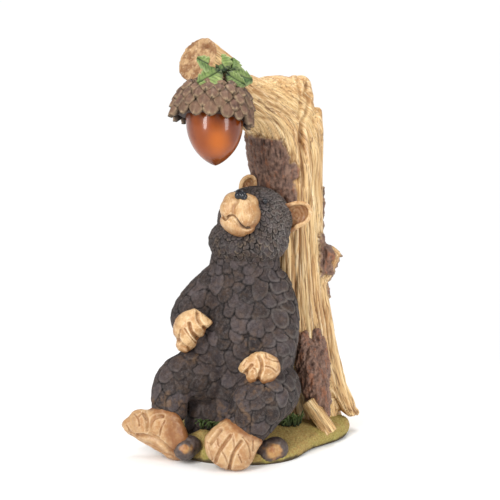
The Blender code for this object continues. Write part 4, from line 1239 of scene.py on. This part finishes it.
def wood_relief(made, along, offset, swirl):
    """Grain, splits and grooves, calmer around the bend and in the creases."""
    points = made.points
    coarse = noise_at(np.column_stack([offset / 7.5, along / 120.0]), 11.0)
    medium = noise_at(np.column_stack([(offset + 2.0 * swirl) / 3.6, along / 60.0]), 13.0)
    fine = noise_at(np.column_stack([(offset + swirl) / 1.7, along / 32.0]), 23.0)
    bent = ramp(points[:, 2], 212.0, 240.0)
    calm = (1.0 - 0.62 * bent) * (1.0 - 0.8 * ramp(made.hollows(), 0.06, 0.30))
    wood = calm * (2.4 * coarse + 0.9 * medium) + (1.0 - 0.85 * bent) * 0.40 * fine
    wood -= calm * 1.3 * splits(offset + 2.5 * swirl, along, 6.5, 75.0, 83.0)
    wood -= (1.0 - bent) * 0.8 * splits(offset + 2.0 * swirl, along, 3.2, 42.0, 91.0)
    wood -= 4.5 * (1.0 - ramp(distance_to_path(points, DEEP_SPLIT), 1.0, 5.5))
    return wood - grooves(made, WOOD_GROOVES, 2.0, 1.0) - grooves(made, [FISSURE], 2.4, 1.6)


def bark_relief(points):
    """Upright strands and broken plates."""
    rough = noise_at(points * (0.34, 0.34, 0.15), 19.0)
    strands = 1.0 - np.abs(noise_at(points * (0.42, 0.42, 0.13), 29.0)) / 0.30
    return 1.7 + 1.0 * rough + 0.9 * np.clip(strands, -1.0, 1.0) + 0.5 * noise_at(points / 2.0, 41.0)


def sawn_relief(made):
    """Crumbs, and the hole and the pit in the sawn end."""
    crumbs = noise_at(made.points / 1.3, 51.0) + 0.8 * noise_at(made.points / 3.0, 57.0)
    hole = seen_from(made, END_HOLE) * MM_PER_PIXEL
    pit = seen_from(made, END_PIT) * MM_PER_PIXEL
    return 0.45 * crumbs - (3.0 * (1.0 - ramp(hole, 0.8, 3.0)) + 1.0 * (1.0 - ramp(pit, 0.4, 1.6)))


def near_panel(points):
    """Where each point lies in the panel's frame, and how far beyond the panel's sides."""
    offset = (points - PANEL_CENTRE) @ panel_axes().T
    return offset, np.maximum(np.abs(offset[:, 0]) - PANEL_WIDTH / 2, np.abs(offset[:, 1]) - PANEL_LENGTH / 2)


def clear_of_panel(points):
    """Presses the wood in front of the panel's face down to it."""
    offset, beyond = near_panel(points)
    highest = -0.3 + 14.0 * ramp(beyond, 1.5, 8.0)
    over = np.maximum(offset[:, 2] - highest, 0.0) * (beyond < 8.0)
    return points - over[:, None] * panel_axes()[2]


def tree():
    made = skin(tree_shells(), 0.97, 5)
    points = made.points
    along, offset = along_tree(points)
    swirl = 1.1 * noise_at(points / 38.0, 17.0)[:, None]
    wood = wood_relief(made, along, offset, swirl)
    bark = bark_cover(made)
    sawn = ramp((points - TRUNK_END) @ unit_vector(TRUNK_END - TRUNK_BEFORE_END), -2.5, -1.0)
    stub_sawn = ramp((points - (69, 38, 139)) @ unit_vector((8, -2, 12)), -2.0, -0.6) * (points[:, 0] > 60)
    relief = (wood * (1.0 - bark) + bark * bark_relief(points)) * (1.0 - np.maximum(sawn, stub_sawn))
    from_stub = np.linalg.norm((points - (70, 38, 138)) * (1.0, 1.0, 0.7), axis=1)
    relief *= 1.0 - 0.85 * (1.0 - ramp(from_stub, 9.0, 15.0)) * (1.0 - bark)
    from_panel, beyond = near_panel(points)
    under_panel = (1.0 - ramp(beyond, 1.0, 4.0)) * (1.0 - ramp(np.abs(from_panel[:, 2]), 8.0, 12.0))
    relief = relief * (1.0 - under_panel) - 0.3 * under_panel
    made.carve(relief + sawn * sawn_relief(made), depth=0.70)
    made.points = clear_of_panel(made.points)
    made.paint["bark"] = bark
    made.paint["sawn"] = sawn
    made.paint["grain"] = np.column_stack([offset + 1.5 * swirl, along])
    return made


def loose_bark():
    """The bark-covered chunk that leans between the bear and the root."""
    made = skin([
        limb([(45.5, 21, 77, 5, 6), (49, 17, 62, 9.5, 9), (54, 13, 44, 11, 10),
              (58, 10.5, 30, 8.5, 8), (62, 9.5, 20, 4, 4.5)]),
        limb([(55, 24, 78, 5, 6), (57, 21, 60, 8, 8), (58, 16, 40, 7, 8)]),
    ], 0.6, 3)
    stretched = made.points * (0.28, 0.28, 0.09)
    relief = 1.7 * noise_at(stretched, 5.0) + 1.0 * noise_at(made.points * (0.6, 0.6, 0.3), 15.0)
    relief += 0.7 * noise_at(made.points / 1.3, 25.0)
    made.carve(relief, depth=0.8)
    made.paint["bark"] = np.ones(len(made.points))
    return made


def sawn_stick():
    made = skin([limb([(49.5, 7, 31, 6.2, 6.2), (58, 3, 18.5, 5.8, 5.8), (65.5, -1, 8.5, 5.6, 5.2)],
                      flat_start=True, flat_end=True)], 0.5, 3)
    axes = frame_along((16.0, -8.0, -22.5), (0.0, 1.0, 0.0))
    grain = (made.points - (58, 3, 18.5)) @ axes.T
    relief = 0.7 * noise_at(grain * (0.5, 0.5, 0.07), 3.0) + 0.35 * noise_at(grain * (0.9, 0.9, 0.3), 8.0)
    made.carve(relief, depth=0.5)
    made.paint["grain"] = grain
    return made


def add_tree():
    wood = wood_paint()
    add_skin("tree_stump", tree(), wood, "grey_wood")
    add_skin("loose_bark", loose_bark(), wood, "grey_wood")
    add_skin("sawn_stick", sawn_stick(), wood, "grey_wood")


# The ground and what lies and grows on it

GROUND_HALF = np.array((73.0, 64.0))
GROUND_CENTRE = np.array((5.0, 16.0))
GROUND_RIM = 11.0
MOSS_RISE = np.array((-28.0, -28.0))
TUFT_RIGHT = np.array((-21.5, -24.0, 20.5))
TUFT_LEFT = np.array((35.0, -1.0, 15.0))


def ground():
    """A low mossy mound with a dent in its right side and a rise between the legs."""
    def bump(turn, middle, width):
        away = (math.degrees(turn) - middle + 180.0) % 360.0 - 180.0
        return math.exp(-(away / width) ** 2)

    rows = smooth_rows([(0.93, 0.0), (0.972, 0.6), (0.99, GROUND_RIM * 0.3), (1.0, GROUND_RIM * 0.6),
                        (0.985, GROUND_RIM * 0.88), (0.95, GROUND_RIM), (0.85, GROUND_RIM + 1.5),
                        (0.65, GROUND_RIM + 3.5), (0.4, GROUND_RIM + 5.0), (0.15, GROUND_RIM + 5.5)], 10)
    sides = 420
    rings = []
    for share, height in rows:
        turns = np.arange(sides) * 2 * math.pi / sides
        edge = np.array([1.0 + 0.07 * bump(turn, 10.0, 25.0) - 0.20 * bump(turn, -35.0, 28.0)
                         for turn in turns])
        flat = GROUND_CENTRE + (edge * share)[:, None] * GROUND_HALF * np.column_stack(
            [np.cos(turns), np.sin(turns)])
        lower = 0.28 * GROUND_RIM * ramp(-flat[:, 1], 5.0, 45.0) * ramp(height, 0.0, 3.0)
        rings.append(np.column_stack([flat, height - lower]))
    mesh = mesh_of("Ground", *rings_to_shell(rings))
    made = Skin(mesh)
    bpy.data.meshes.remove(mesh)
    points = made.points
    free = ramp(points[:, 2], 0.3, 3.0)
    rise = np.exp(-(((points[:, :2] - MOSS_RISE) / (12.0, 9.0)) ** 2).sum(1))
    points[:, 2] += 8.5 * rise * free
    broad = 0.9 * noise_at(points / 11.0, 3.0)
    crumbs = 0.45 * noise_at(points / 2.0, 9.0) + 0.35 * noise_at(points / 0.9, 27.0)
    if made.normals[points[:, 2].argmax(), 2] < 0:
        made.normals = -made.normals
    made.carve((broad + crumbs) * free, depth=0.6)
    # Painted shade along the foot of the mound, where it meets the floor
    made.paint["edge"] = 1.0 - ramp(points[:, 2] + 1.5 * noise_at(points / 5.0, 33.0), 1.2, 3.6)
    return made


def blade(foot, tip, width):
    """A bent blade of grass, and how near each of its points is to the tip."""
    foot, tip = np.array(foot), np.array(tip)
    bend = (foot + tip) / 2 + (0.0, 0.0, 2.4)
    rows = [(*foot, width, width * 0.5), (*bend, width * 0.8, width * 0.45), (*tip, 0.25, 0.2)]
    points, faces = limb(rows, sides=6, steps=4)
    return points, faces, np.clip((points - foot) @ (tip - foot) / (tip - foot).dot(tip - foot), 0.0, 1.0)


def add_tufts():
    random = np.random.default_rng(8)
    blades = []
    for middle, reach, count, tall in ((TUFT_RIGHT, 8.0, 70, 7.0), (TUFT_LEFT, 8.5, 80, 10.5)):
        for _ in range(count):
            foot = middle + random.uniform(-1.0, 1.0, 3) * (reach, reach * 0.55, 0.0) + (0.0, 0.0, 0.3)
            tip = foot + random.uniform(-1.0, 1.0, 3) * (6.0, 4.0, 0.0)
            tip += (0.0, -2.0, random.uniform(2.5, tall))
            blades.append(blade(foot, tip, random.uniform(0.55, 0.95)))
    shape = joined([(points, faces) for points, faces, _ in blades])
    tips = np.concatenate([tip for _, _, tip in blades])
    add_piece("grass_tufts", *shape, grass_paint(), "green_leaf", paint={"tip": tips})


# The small acorns: their balls, the middle of their painted highlight on the front view and how far it
# reaches
NUTS = {
    "small_acorn_right": ([((-40.0, -41.0, 9.5), (8.2, 7.6, 7.6)), ((-37.0, -38.0, 11.5), (8.6, 7.0, 7.6))],
                          (185.8, 448.6), 5.1),
    "small_acorn_left": ([((19.0, -39.0, 8.0), (10.5, 8.5, 8.0)), ((24.0, -36.5, 9.0), (9.5, 8.5, 8.4))],
                         (274.0, 451.2), 7.6),
}


def small_acorn(shells, centre, span):
    made = skin([ball(place, radii) for place, radii in shells], 0.5, 4)
    away = seen_from(made, centre, (1.0, 1.1)) * MM_PER_PIXEL
    away = away + 2.6 * noise_at(made.points / 3.6, centre[0])
    front = faces_front(made.normals)
    rim = 0.4 * np.exp(-((away - span * 1.15) / 1.6) ** 2) * front
    made.carve(rim + 0.25 * noise_at(made.points / 1.8, 6.0), depth=0.5)
    # Painted highlight: orange in the middle of the side that faces the front view
    made.paint["painted_highlight"] = (1.0 - ramp(away, span * 0.55, span)) * front
    return made


def add_ground():
    add_skin("mossy_ground", ground(), moss_paint(), "mossy_ground")
    nut = nut_paint()
    for name, shape in NUTS.items():
        add_skin(name, small_acorn(*shape), nut, "acorn_cap")
    add_tufts()


# The lamp

def lens_profile(radius, length):
    """The acorn's outline from its seat to its tip. A row is a distance along it and a radius."""
    shares = 1.0 - (1.0 - np.linspace(0.0, 0.995, 40)) ** 1.6
    return [(-LENS_SEAT, radius)] + [(length * share, radius * max(1.0 - share ** 2.4, 0.0) ** 0.74)
                                     for share in shares]


def add_lens():
    """The hollow acorn nut, open at the top where it sits in the cap."""
    sides = 96
    axes = frame_along(LENS_AXIS, (1.0, 0.0, 0.0))
    circle = circle_across(axes, sides)
    inner_length = LENS_LENGTH - 1.6 * LENS_WALL
    outer = lens_profile(LENS_RADIUS, LENS_LENGTH)
    inner = lens_profile(LENS_RADIUS - LENS_WALL, inner_length)
    rings = [LENS_MOUTH + axes[2] * along + circle * ring for along, ring in [*outer, *reversed(inner)]]
    tips = LENS_MOUTH + np.outer((LENS_LENGTH, inner_length), axes[2])
    points = np.vstack([*rings, tips])
    last_outer = len(outer) - 1
    tip = len(rings) * sides
    faces = []
    for side in range(sides):
        after = (side + 1) % sides
        for ring in range(len(rings)):
            low, high = ring * sides, (ring + 1) % len(rings) * sides
            if ring != last_outer:
                faces.append((low + side, low + after, high + after, high + side))
            else:
                faces.append((low + side, low + after, tip))
                faces.append((high + after, high + side, tip + 1))
    # A painted glow round a spot of the front view, and painted shade at the tip and at the mouth under the
    # cap
    from_glow = np.linalg.norm((seen_at(points) - LENS_GLOW) * (1.0, 0.75), axis=1)
    along = (points - LENS_MOUTH) @ axes[2] / LENS_LENGTH
    edge = 0.75 * ramp(along, 0.78, 1.0) + 0.45 * (1.0 - ramp(along, -0.02, 0.10))
    add_piece("amber_acorn", points, faces, amber(), "amber_plastic", "acorn_lens",
              paint={"glow": 1.0 - ramp(from_glow, 2.0, 17.0), "edge": np.clip(edge, 0.0, 1.0)})


def cap_axis():
    """The cap leans as the lens does, and to the right as well."""
    return unit_vector(np.array((math.tan(CAP_LEAN_RIGHT), 0.0, 0.0)) - unit_vector(LENS_AXIS))


def cap_radius(share):
    """The radius of the cap's dome at a share of its height."""
    return (CAP_RADIUS - CAP_SCALES_OUT) * max(1.0 - share ** 2.3, 0.0) ** 0.55


def cap_scale(centre, axes, width, length, thick):
    """A thick, keeled, pointed scale. axes are across it, down towards its point, and out."""
    steps = 11
    rows = np.linspace(-1.0, 1.0, steps)
    points, rim, groove = [], [], []
    for v in rows:
        top_half = width * max(1.0 - abs(v) ** 2.2, 0.0) ** 0.6
        half = top_half if v < 0.0 else width * max(1.0 - v ** 1.5, 0.0) ** 0.72
        for u in rows:
            edge = max(abs(u), abs(v))
            bulge = math.sqrt(max(1.0 - 0.80 * u * u - 0.55 * v * v, 0.0))
            out = thick * (bulge + 0.42 * (1.0 - abs(u))) + 1.1 * (v + 1.0) * 0.5
            points.append(centre + axes[0] * u * half + axes[1] * v * length + axes[2] * out)
            rim.append(ramp(edge, 0.50, 0.92) * (0.25 + 0.75 * (v > -0.2)) + 0.25 * (abs(u) < 0.1))
            groove.append(0.55 * ramp(edge, 0.90, 1.0) + 0.8 * ramp(-v, 0.35, 0.85))
    under = len(points)
    for v in (-1.0, 1.0):
        for u in (-1.0, 1.0):
            points.append(centre + axes[0] * u * width * 0.3 + axes[1] * v * length * 0.5 - axes[2] * 1.4)
            rim.append(0.0)
            groove.append(1.0)
    faces = []
    for row in range(steps - 1):
        for column in range(steps - 1):
            a = row * steps + column
            faces.append((a, a + 1, a + steps + 1, a + steps))
    a, b, c, d = under, under + 1, under + 3, under + 2
    faces.append((a, d, c, b))
    last = steps * steps - 1
    borders = [
        (range(0, steps), a, b),
        (range(steps - 1, last + 1, steps), b, c),
        (range(last, last - steps, -1), c, d),
        (range(last - steps + 1, -1, -steps), d, a),
    ]
    for border, foot, next_foot in borders:
        border = list(border)
        middle = len(border) // 2
        for index, (p, q) in enumerate(zip(border, border[1:])):
            faces.append((q, p, foot if index < middle else next_foot))
        faces.append((border[middle], foot, next_foot))
    return (np.array(points), faces), np.array(rim), np.clip(groove, 0.0, 1.0)


# How far up the cap each row of scales lies, and the space from one scale to the next
CAP_ROWS = [(0.03, 10.2), (0.20, 10.0), (0.38, 9.4), (0.56, 8.6), (0.73, 7.6), (0.88, 6.6)]


def add_cap():
    """The acorn's cap, with rows of overlapping scales down to its rim."""
    random = np.random.default_rng(5)
    axes = frame_along(cap_axis(), (1.0, 0.0, 0.0))
    circle = circle_across(axes, 64)
    dome = [(-0.6, CAP_RADIUS - 6.5), (0.4, CAP_RADIUS - CAP_SCALES_OUT)]
    for share in np.linspace(0.0, 1.0, 14):
        dome.append((1.5 + (CAP_HEIGHT - 3.0) * share, cap_radius(share)))
    base = rings_to_shell([CAP_CENTRE + axes[2] * along + circle * radius for along, radius in dome])
    plain = np.zeros(len(base[0]))
    shells, rims, grooved, tints = [base], [plain], [plain + 0.7], [plain]
    for row, (share, gap) in enumerate(CAP_ROWS):
        radius = cap_radius(share)
        count = max(5, round(2 * math.pi * radius / gap))
        slope = math.radians(6.0 + 66.0 * share)
        for index in range(count):
            turn = 2 * math.pi * (index + 0.5 * (row % 2) + random.uniform(-0.12, 0.12)) / count
            out = axes[0] * math.cos(turn) + axes[1] * math.sin(turn)
            tilt = slope + random.uniform(-0.10, 0.14)
            down = unit_vector(-axes[2] * math.cos(tilt) + out * math.sin(tilt))
            across = unit_vector(np.cross(axes[2], out) + down * random.uniform(-0.14, 0.14))
            face = unit_vector(np.cross(across, down))
            if face.dot(out + axes[2]) < 0:
                face = -face
            centre = CAP_CENTRE + axes[2] * (CAP_HEIGHT * share + random.uniform(0.2, 1.4)) + out * radius
            size = gap * random.uniform(0.90, 1.10)
            shape, rim, groove = cap_scale(centre, np.array([across, down, face]), 0.57 * size, 0.60 * size,
                                           0.27 * size)
            shells.append(shape)
            rims.append(rim)
            grooved.append(groove)
            tints.append(np.full(len(rim), random.uniform()))
    add_piece("acorn_cap", *joined(shells), cap_paint(), "acorn_cap",
              paint={"rim": np.concatenate(rims), "groove": np.concatenate(grooved),
                     "tint": np.concatenate(tints)})


def leaf(base, tip, half_width, up, painted_light_halves, lobes=4):
    """A thick lobed leaf with a sunk midrib and side veins, and its paint: each half has its own share of
    painted light, and the root and the underside have painted shade.
    """
    axes = frame_along(tip - base, np.cross(tip - base, up))
    length = np.linalg.norm(tip - base)
    lift = unit_vector(up)
    long_steps, wide_steps = 40, 16
    points = []
    paint = {"groove": [], "rim": [], "painted_light": []}
    for sheet in (1.0, -1.0):
        for i in range(long_steps + 1):
            share = 0.02 + 0.97 * i / long_steps
            lobe = 1.0 - 0.24 * ((lobes * share + 0.30) % 1.0) ** 1.6
            wide = half_width * lobe * math.sin(math.pi * share ** 0.85) ** 0.6 + 0.25
            for j in range(wide_steps + 1):
                u = 2.0 * j / wide_steps - 1.0
                rib = math.exp(-(u * wide / 0.55) ** 2)
                vein = math.exp(-(((share * 7.0 + abs(u) * 1.4) % 1.0 - 0.5) / 0.12) ** 2)
                vein *= ramp(abs(u), 0.1, 0.3) * (1.0 - ramp(abs(u), 0.7, 0.95))
                round_out = math.sqrt(1.0 - u * u)
                puff = 1.5 * round_out + 0.8 * math.sin(math.pi * abs(u)) - 1.1 * rib - 0.45 * vein
                high = puff if sheet > 0 else -0.7 * round_out
                points.append(base + axes[2] * length * share + axes[0] * u * wide + lift * high)
                # Painted shade: darker at the root and over the whole underside
                root = 0.75 * (1.0 - ramp(share, 0.05, 0.30))
                paint["groove"].append(min(1.0, 0.95 * rib + 0.7 * vein + root) if sheet > 0 else 0.6)
                paint["rim"].append(ramp(abs(u), 0.5, 0.95) if sheet > 0 else 0.0)
                paint["painted_light"].append(painted_light_halves[0] if u > 0.0 else painted_light_halves[1])
    across = wide_steps + 1
    sheet_size = across * (long_steps + 1)
    faces = []
    for i in range(long_steps):
        for j in range(wide_steps):
            a = i * across + j
            b = a + sheet_size
            faces.append((a, a + 1, a + across + 1, a + across))
            faces.append((b, b + across, b + across + 1, b + 1))
    outline = list(range(0, across)) + list(range(2 * across - 1, sheet_size, across))
    outline += list(range(sheet_size - 2, sheet_size - across - 1, -1))
    outline += list(range(sheet_size - 2 * across, 0, -across))
    for a, b in zip(outline, outline[1:] + outline[:1]):
        faces.append((a, b, sheet_size + b, sheet_size + a))
    return (np.array(points), faces), paint


# A leaf's root and tip on the front view with their distances along Y, its half width, and how much painted
# light its two halves get
LEAVES = [
    ((219.0, 70.0), -20.0, (196.8, 59.0), -24.0, 7.2, 0.95, 0.45),
    ((221.0, 71.0), -23.0, (198.0, 84.2), -31.0, 8.6, 0.75, 1.00),
    ((227.0, 72.0), -18.0, (214.8, 54.8), -15.0, 8.4, 1.00, 0.40),
    ((231.5, 71.5), -16.0, (232.2, 58.6), -12.0, 7.0, 0.50, 0.20),
    ((229.0, 72.5), -18.0, (252.9, 81.0), -12.0, 8.4, 0.15, 0.75),
    ((226.0, 74.0), -21.0, (245.5, 86.0), -20.0, 5.6, 0.55, 0.70),
]


def add_leaves():
    up = (-0.1, -0.75, 0.65)
    parts = []
    for root, root_away, tip, tip_away, width, *painted_light in LEAVES:
        parts.append(leaf(placed(root, root_away), placed(tip, tip_away), width, up, painted_light))
    paint = {name: np.concatenate([part[1][name] for part in parts]) for name in parts[0][1]}
    add_piece("oak_leaves", *joined([shape for shape, _ in parts]), leaf_paint(), "green_leaf", paint=paint)


# The solar panel

def panel_axes():
    """Rows: across the panel, up its slope, and straight out of its face."""
    out = np.array((0.0, math.cos(PANEL_SKYWARD), math.sin(PANEL_SKYWARD)))
    return np.array([(-1.0, 0.0, 0.0), np.cross(out, (-1.0, 0.0, 0.0)), out])


def panel_boss():
    """A block of wood on the stump's back, deep enough to hold the panel."""
    half = np.array((PANEL_WIDTH / 2 + PANEL_BORDER, PANEL_LENGTH / 2 + PANEL_BORDER))
    axes = panel_axes()
    squareness = 0.35
    turns = (np.arange(48) + 0.5) * 2 * math.pi / 48
    across = np.sign(np.cos(turns)) * np.abs(np.cos(turns)) ** squareness
    up = np.sign(np.sin(turns)) * np.abs(np.sin(turns)) ** squareness
    rings = []
    for out, grow in ((-0.6, 0.0), (-4.0, 0.8), (-12.0, -1.0), (-24.0, -7.0)):
        middle = PANEL_CENTRE + axes[2] * out
        sideways = np.outer(across * (half[0] + grow), axes[0])
        rings.append(middle + sideways + np.outer(up * (half[1] + grow), axes[1]))
    return [rings_to_shell(rings)]


# Studio

# A lamp's name, place, width and height, and power
LAMPS = (
    ("key", (-0.75, -0.95, 0.80), (0.32, 1.40), 18.0),
    ("fill", (0.95, -0.80, 0.66), (0.35, 1.20), 10.0),
    ("top", (0.1, 0.45, 1.3), (0.7, 0.7), 9.0),
)
LAMPS_AIM = Vector((0.0, 0.0, 0.15))
FLOOR_REACH = 40.0
ROOM_LIGHT = 0.52
WHITE = (1.0, 1.0, 1.0)


def add_floor():
    """A pale floor that fades to white away from the part."""
    corners = [(x * FLOOR_REACH, y * FLOOR_REACH, 0.0) for x, y in ((-1, -1), (1, -1), (1, 1), (-1, 1))]
    mesh = bpy.data.meshes.new("floor")
    mesh.from_pydata(corners, [], [(0, 1, 2, 3)])
    floor = bpy.data.objects.new("floor", mesh)
    bpy.context.collection.objects.link(floor)
    plain = Paint("floor", 0.8, 0.1)
    far = plain.between(plain.vector_maths("LENGTH", plain.place, output="Value"), 0.10, 0.36)
    plain.base = plain.mix((0.93, 0.93, 0.93), (0.0, 0.0, 0.0), far)
    plain.set("Emission Color", WHITE)
    plain.set("Emission Strength", far)
    mesh.materials.append(plain.finished())


def add_room():
    """Soft light from all sides, and a white backdrop where only the camera sees it."""
    world = bpy.data.worlds.new("studio")
    bpy.context.scene.world = world
    world.use_nodes = True
    nodes, links = world.node_tree.nodes, world.node_tree.links
    soft, backdrop = nodes["Background"], nodes.new("ShaderNodeBackground")
    for background, strength in ((soft, ROOM_LIGHT), (backdrop, 1.0)):
        background.inputs["Color"].default_value = (*WHITE, 1.0)
        background.inputs["Strength"].default_value = strength
    rays = nodes.new("ShaderNodeLightPath")
    either = nodes.new("ShaderNodeMixShader")
    links.new(rays.outputs["Is Camera Ray"], either.inputs["Fac"])
    links.new(soft.outputs["Background"], either.inputs[1])
    links.new(backdrop.outputs["Background"], either.inputs[2])
    links.new(either.outputs["Shader"], nodes["World Output"].inputs["Surface"])


def add_lamps():
    for name, place, size, power in LAMPS:
        light = bpy.data.lights.new(name, "AREA")
        light.shape = "RECTANGLE"
        light.size, light.size_y = size
        light.energy = power
        lamp = bpy.data.objects.new(name, light)
        bpy.context.collection.objects.link(lamp)
        lamp.location = place
        lamp.rotation_euler = (LAMPS_AIM - Vector(place)).to_track_quat("-Z", "Y").to_euler()


def add_camera():
    camera = bpy.data.cameras.new("camera")
    camera.lens = LENS_MM
    camera.sensor_width = SENSOR_MM
    eye = bpy.data.objects.new("camera", camera)
    bpy.context.collection.objects.link(eye)
    target = Vector((VIEW_TARGET - DRAWN_MIDDLE) * MM)
    back = Vector((0.0, -math.cos(VIEW_HEIGHT), math.sin(VIEW_HEIGHT)))
    eye.location = target + back * VIEW_DISTANCE * MM
    eye.rotation_euler = (-back).to_track_quat("-Z", "Y").to_euler()
    bpy.context.scene.camera = eye
    bpy.context.scene.view_settings.view_transform = "Standard"


def add_panel():
    """The panel keeps its own solid and gets cells and wires painted on it."""
    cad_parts["solar_panel"].material_slots[0].material = panel_paint()


add_floor()
add_room()
add_lamps()
add_camera()
add_bear()
add_tree()
add_ground()
add_cap()
add_leaves()
add_lens()
add_panel()
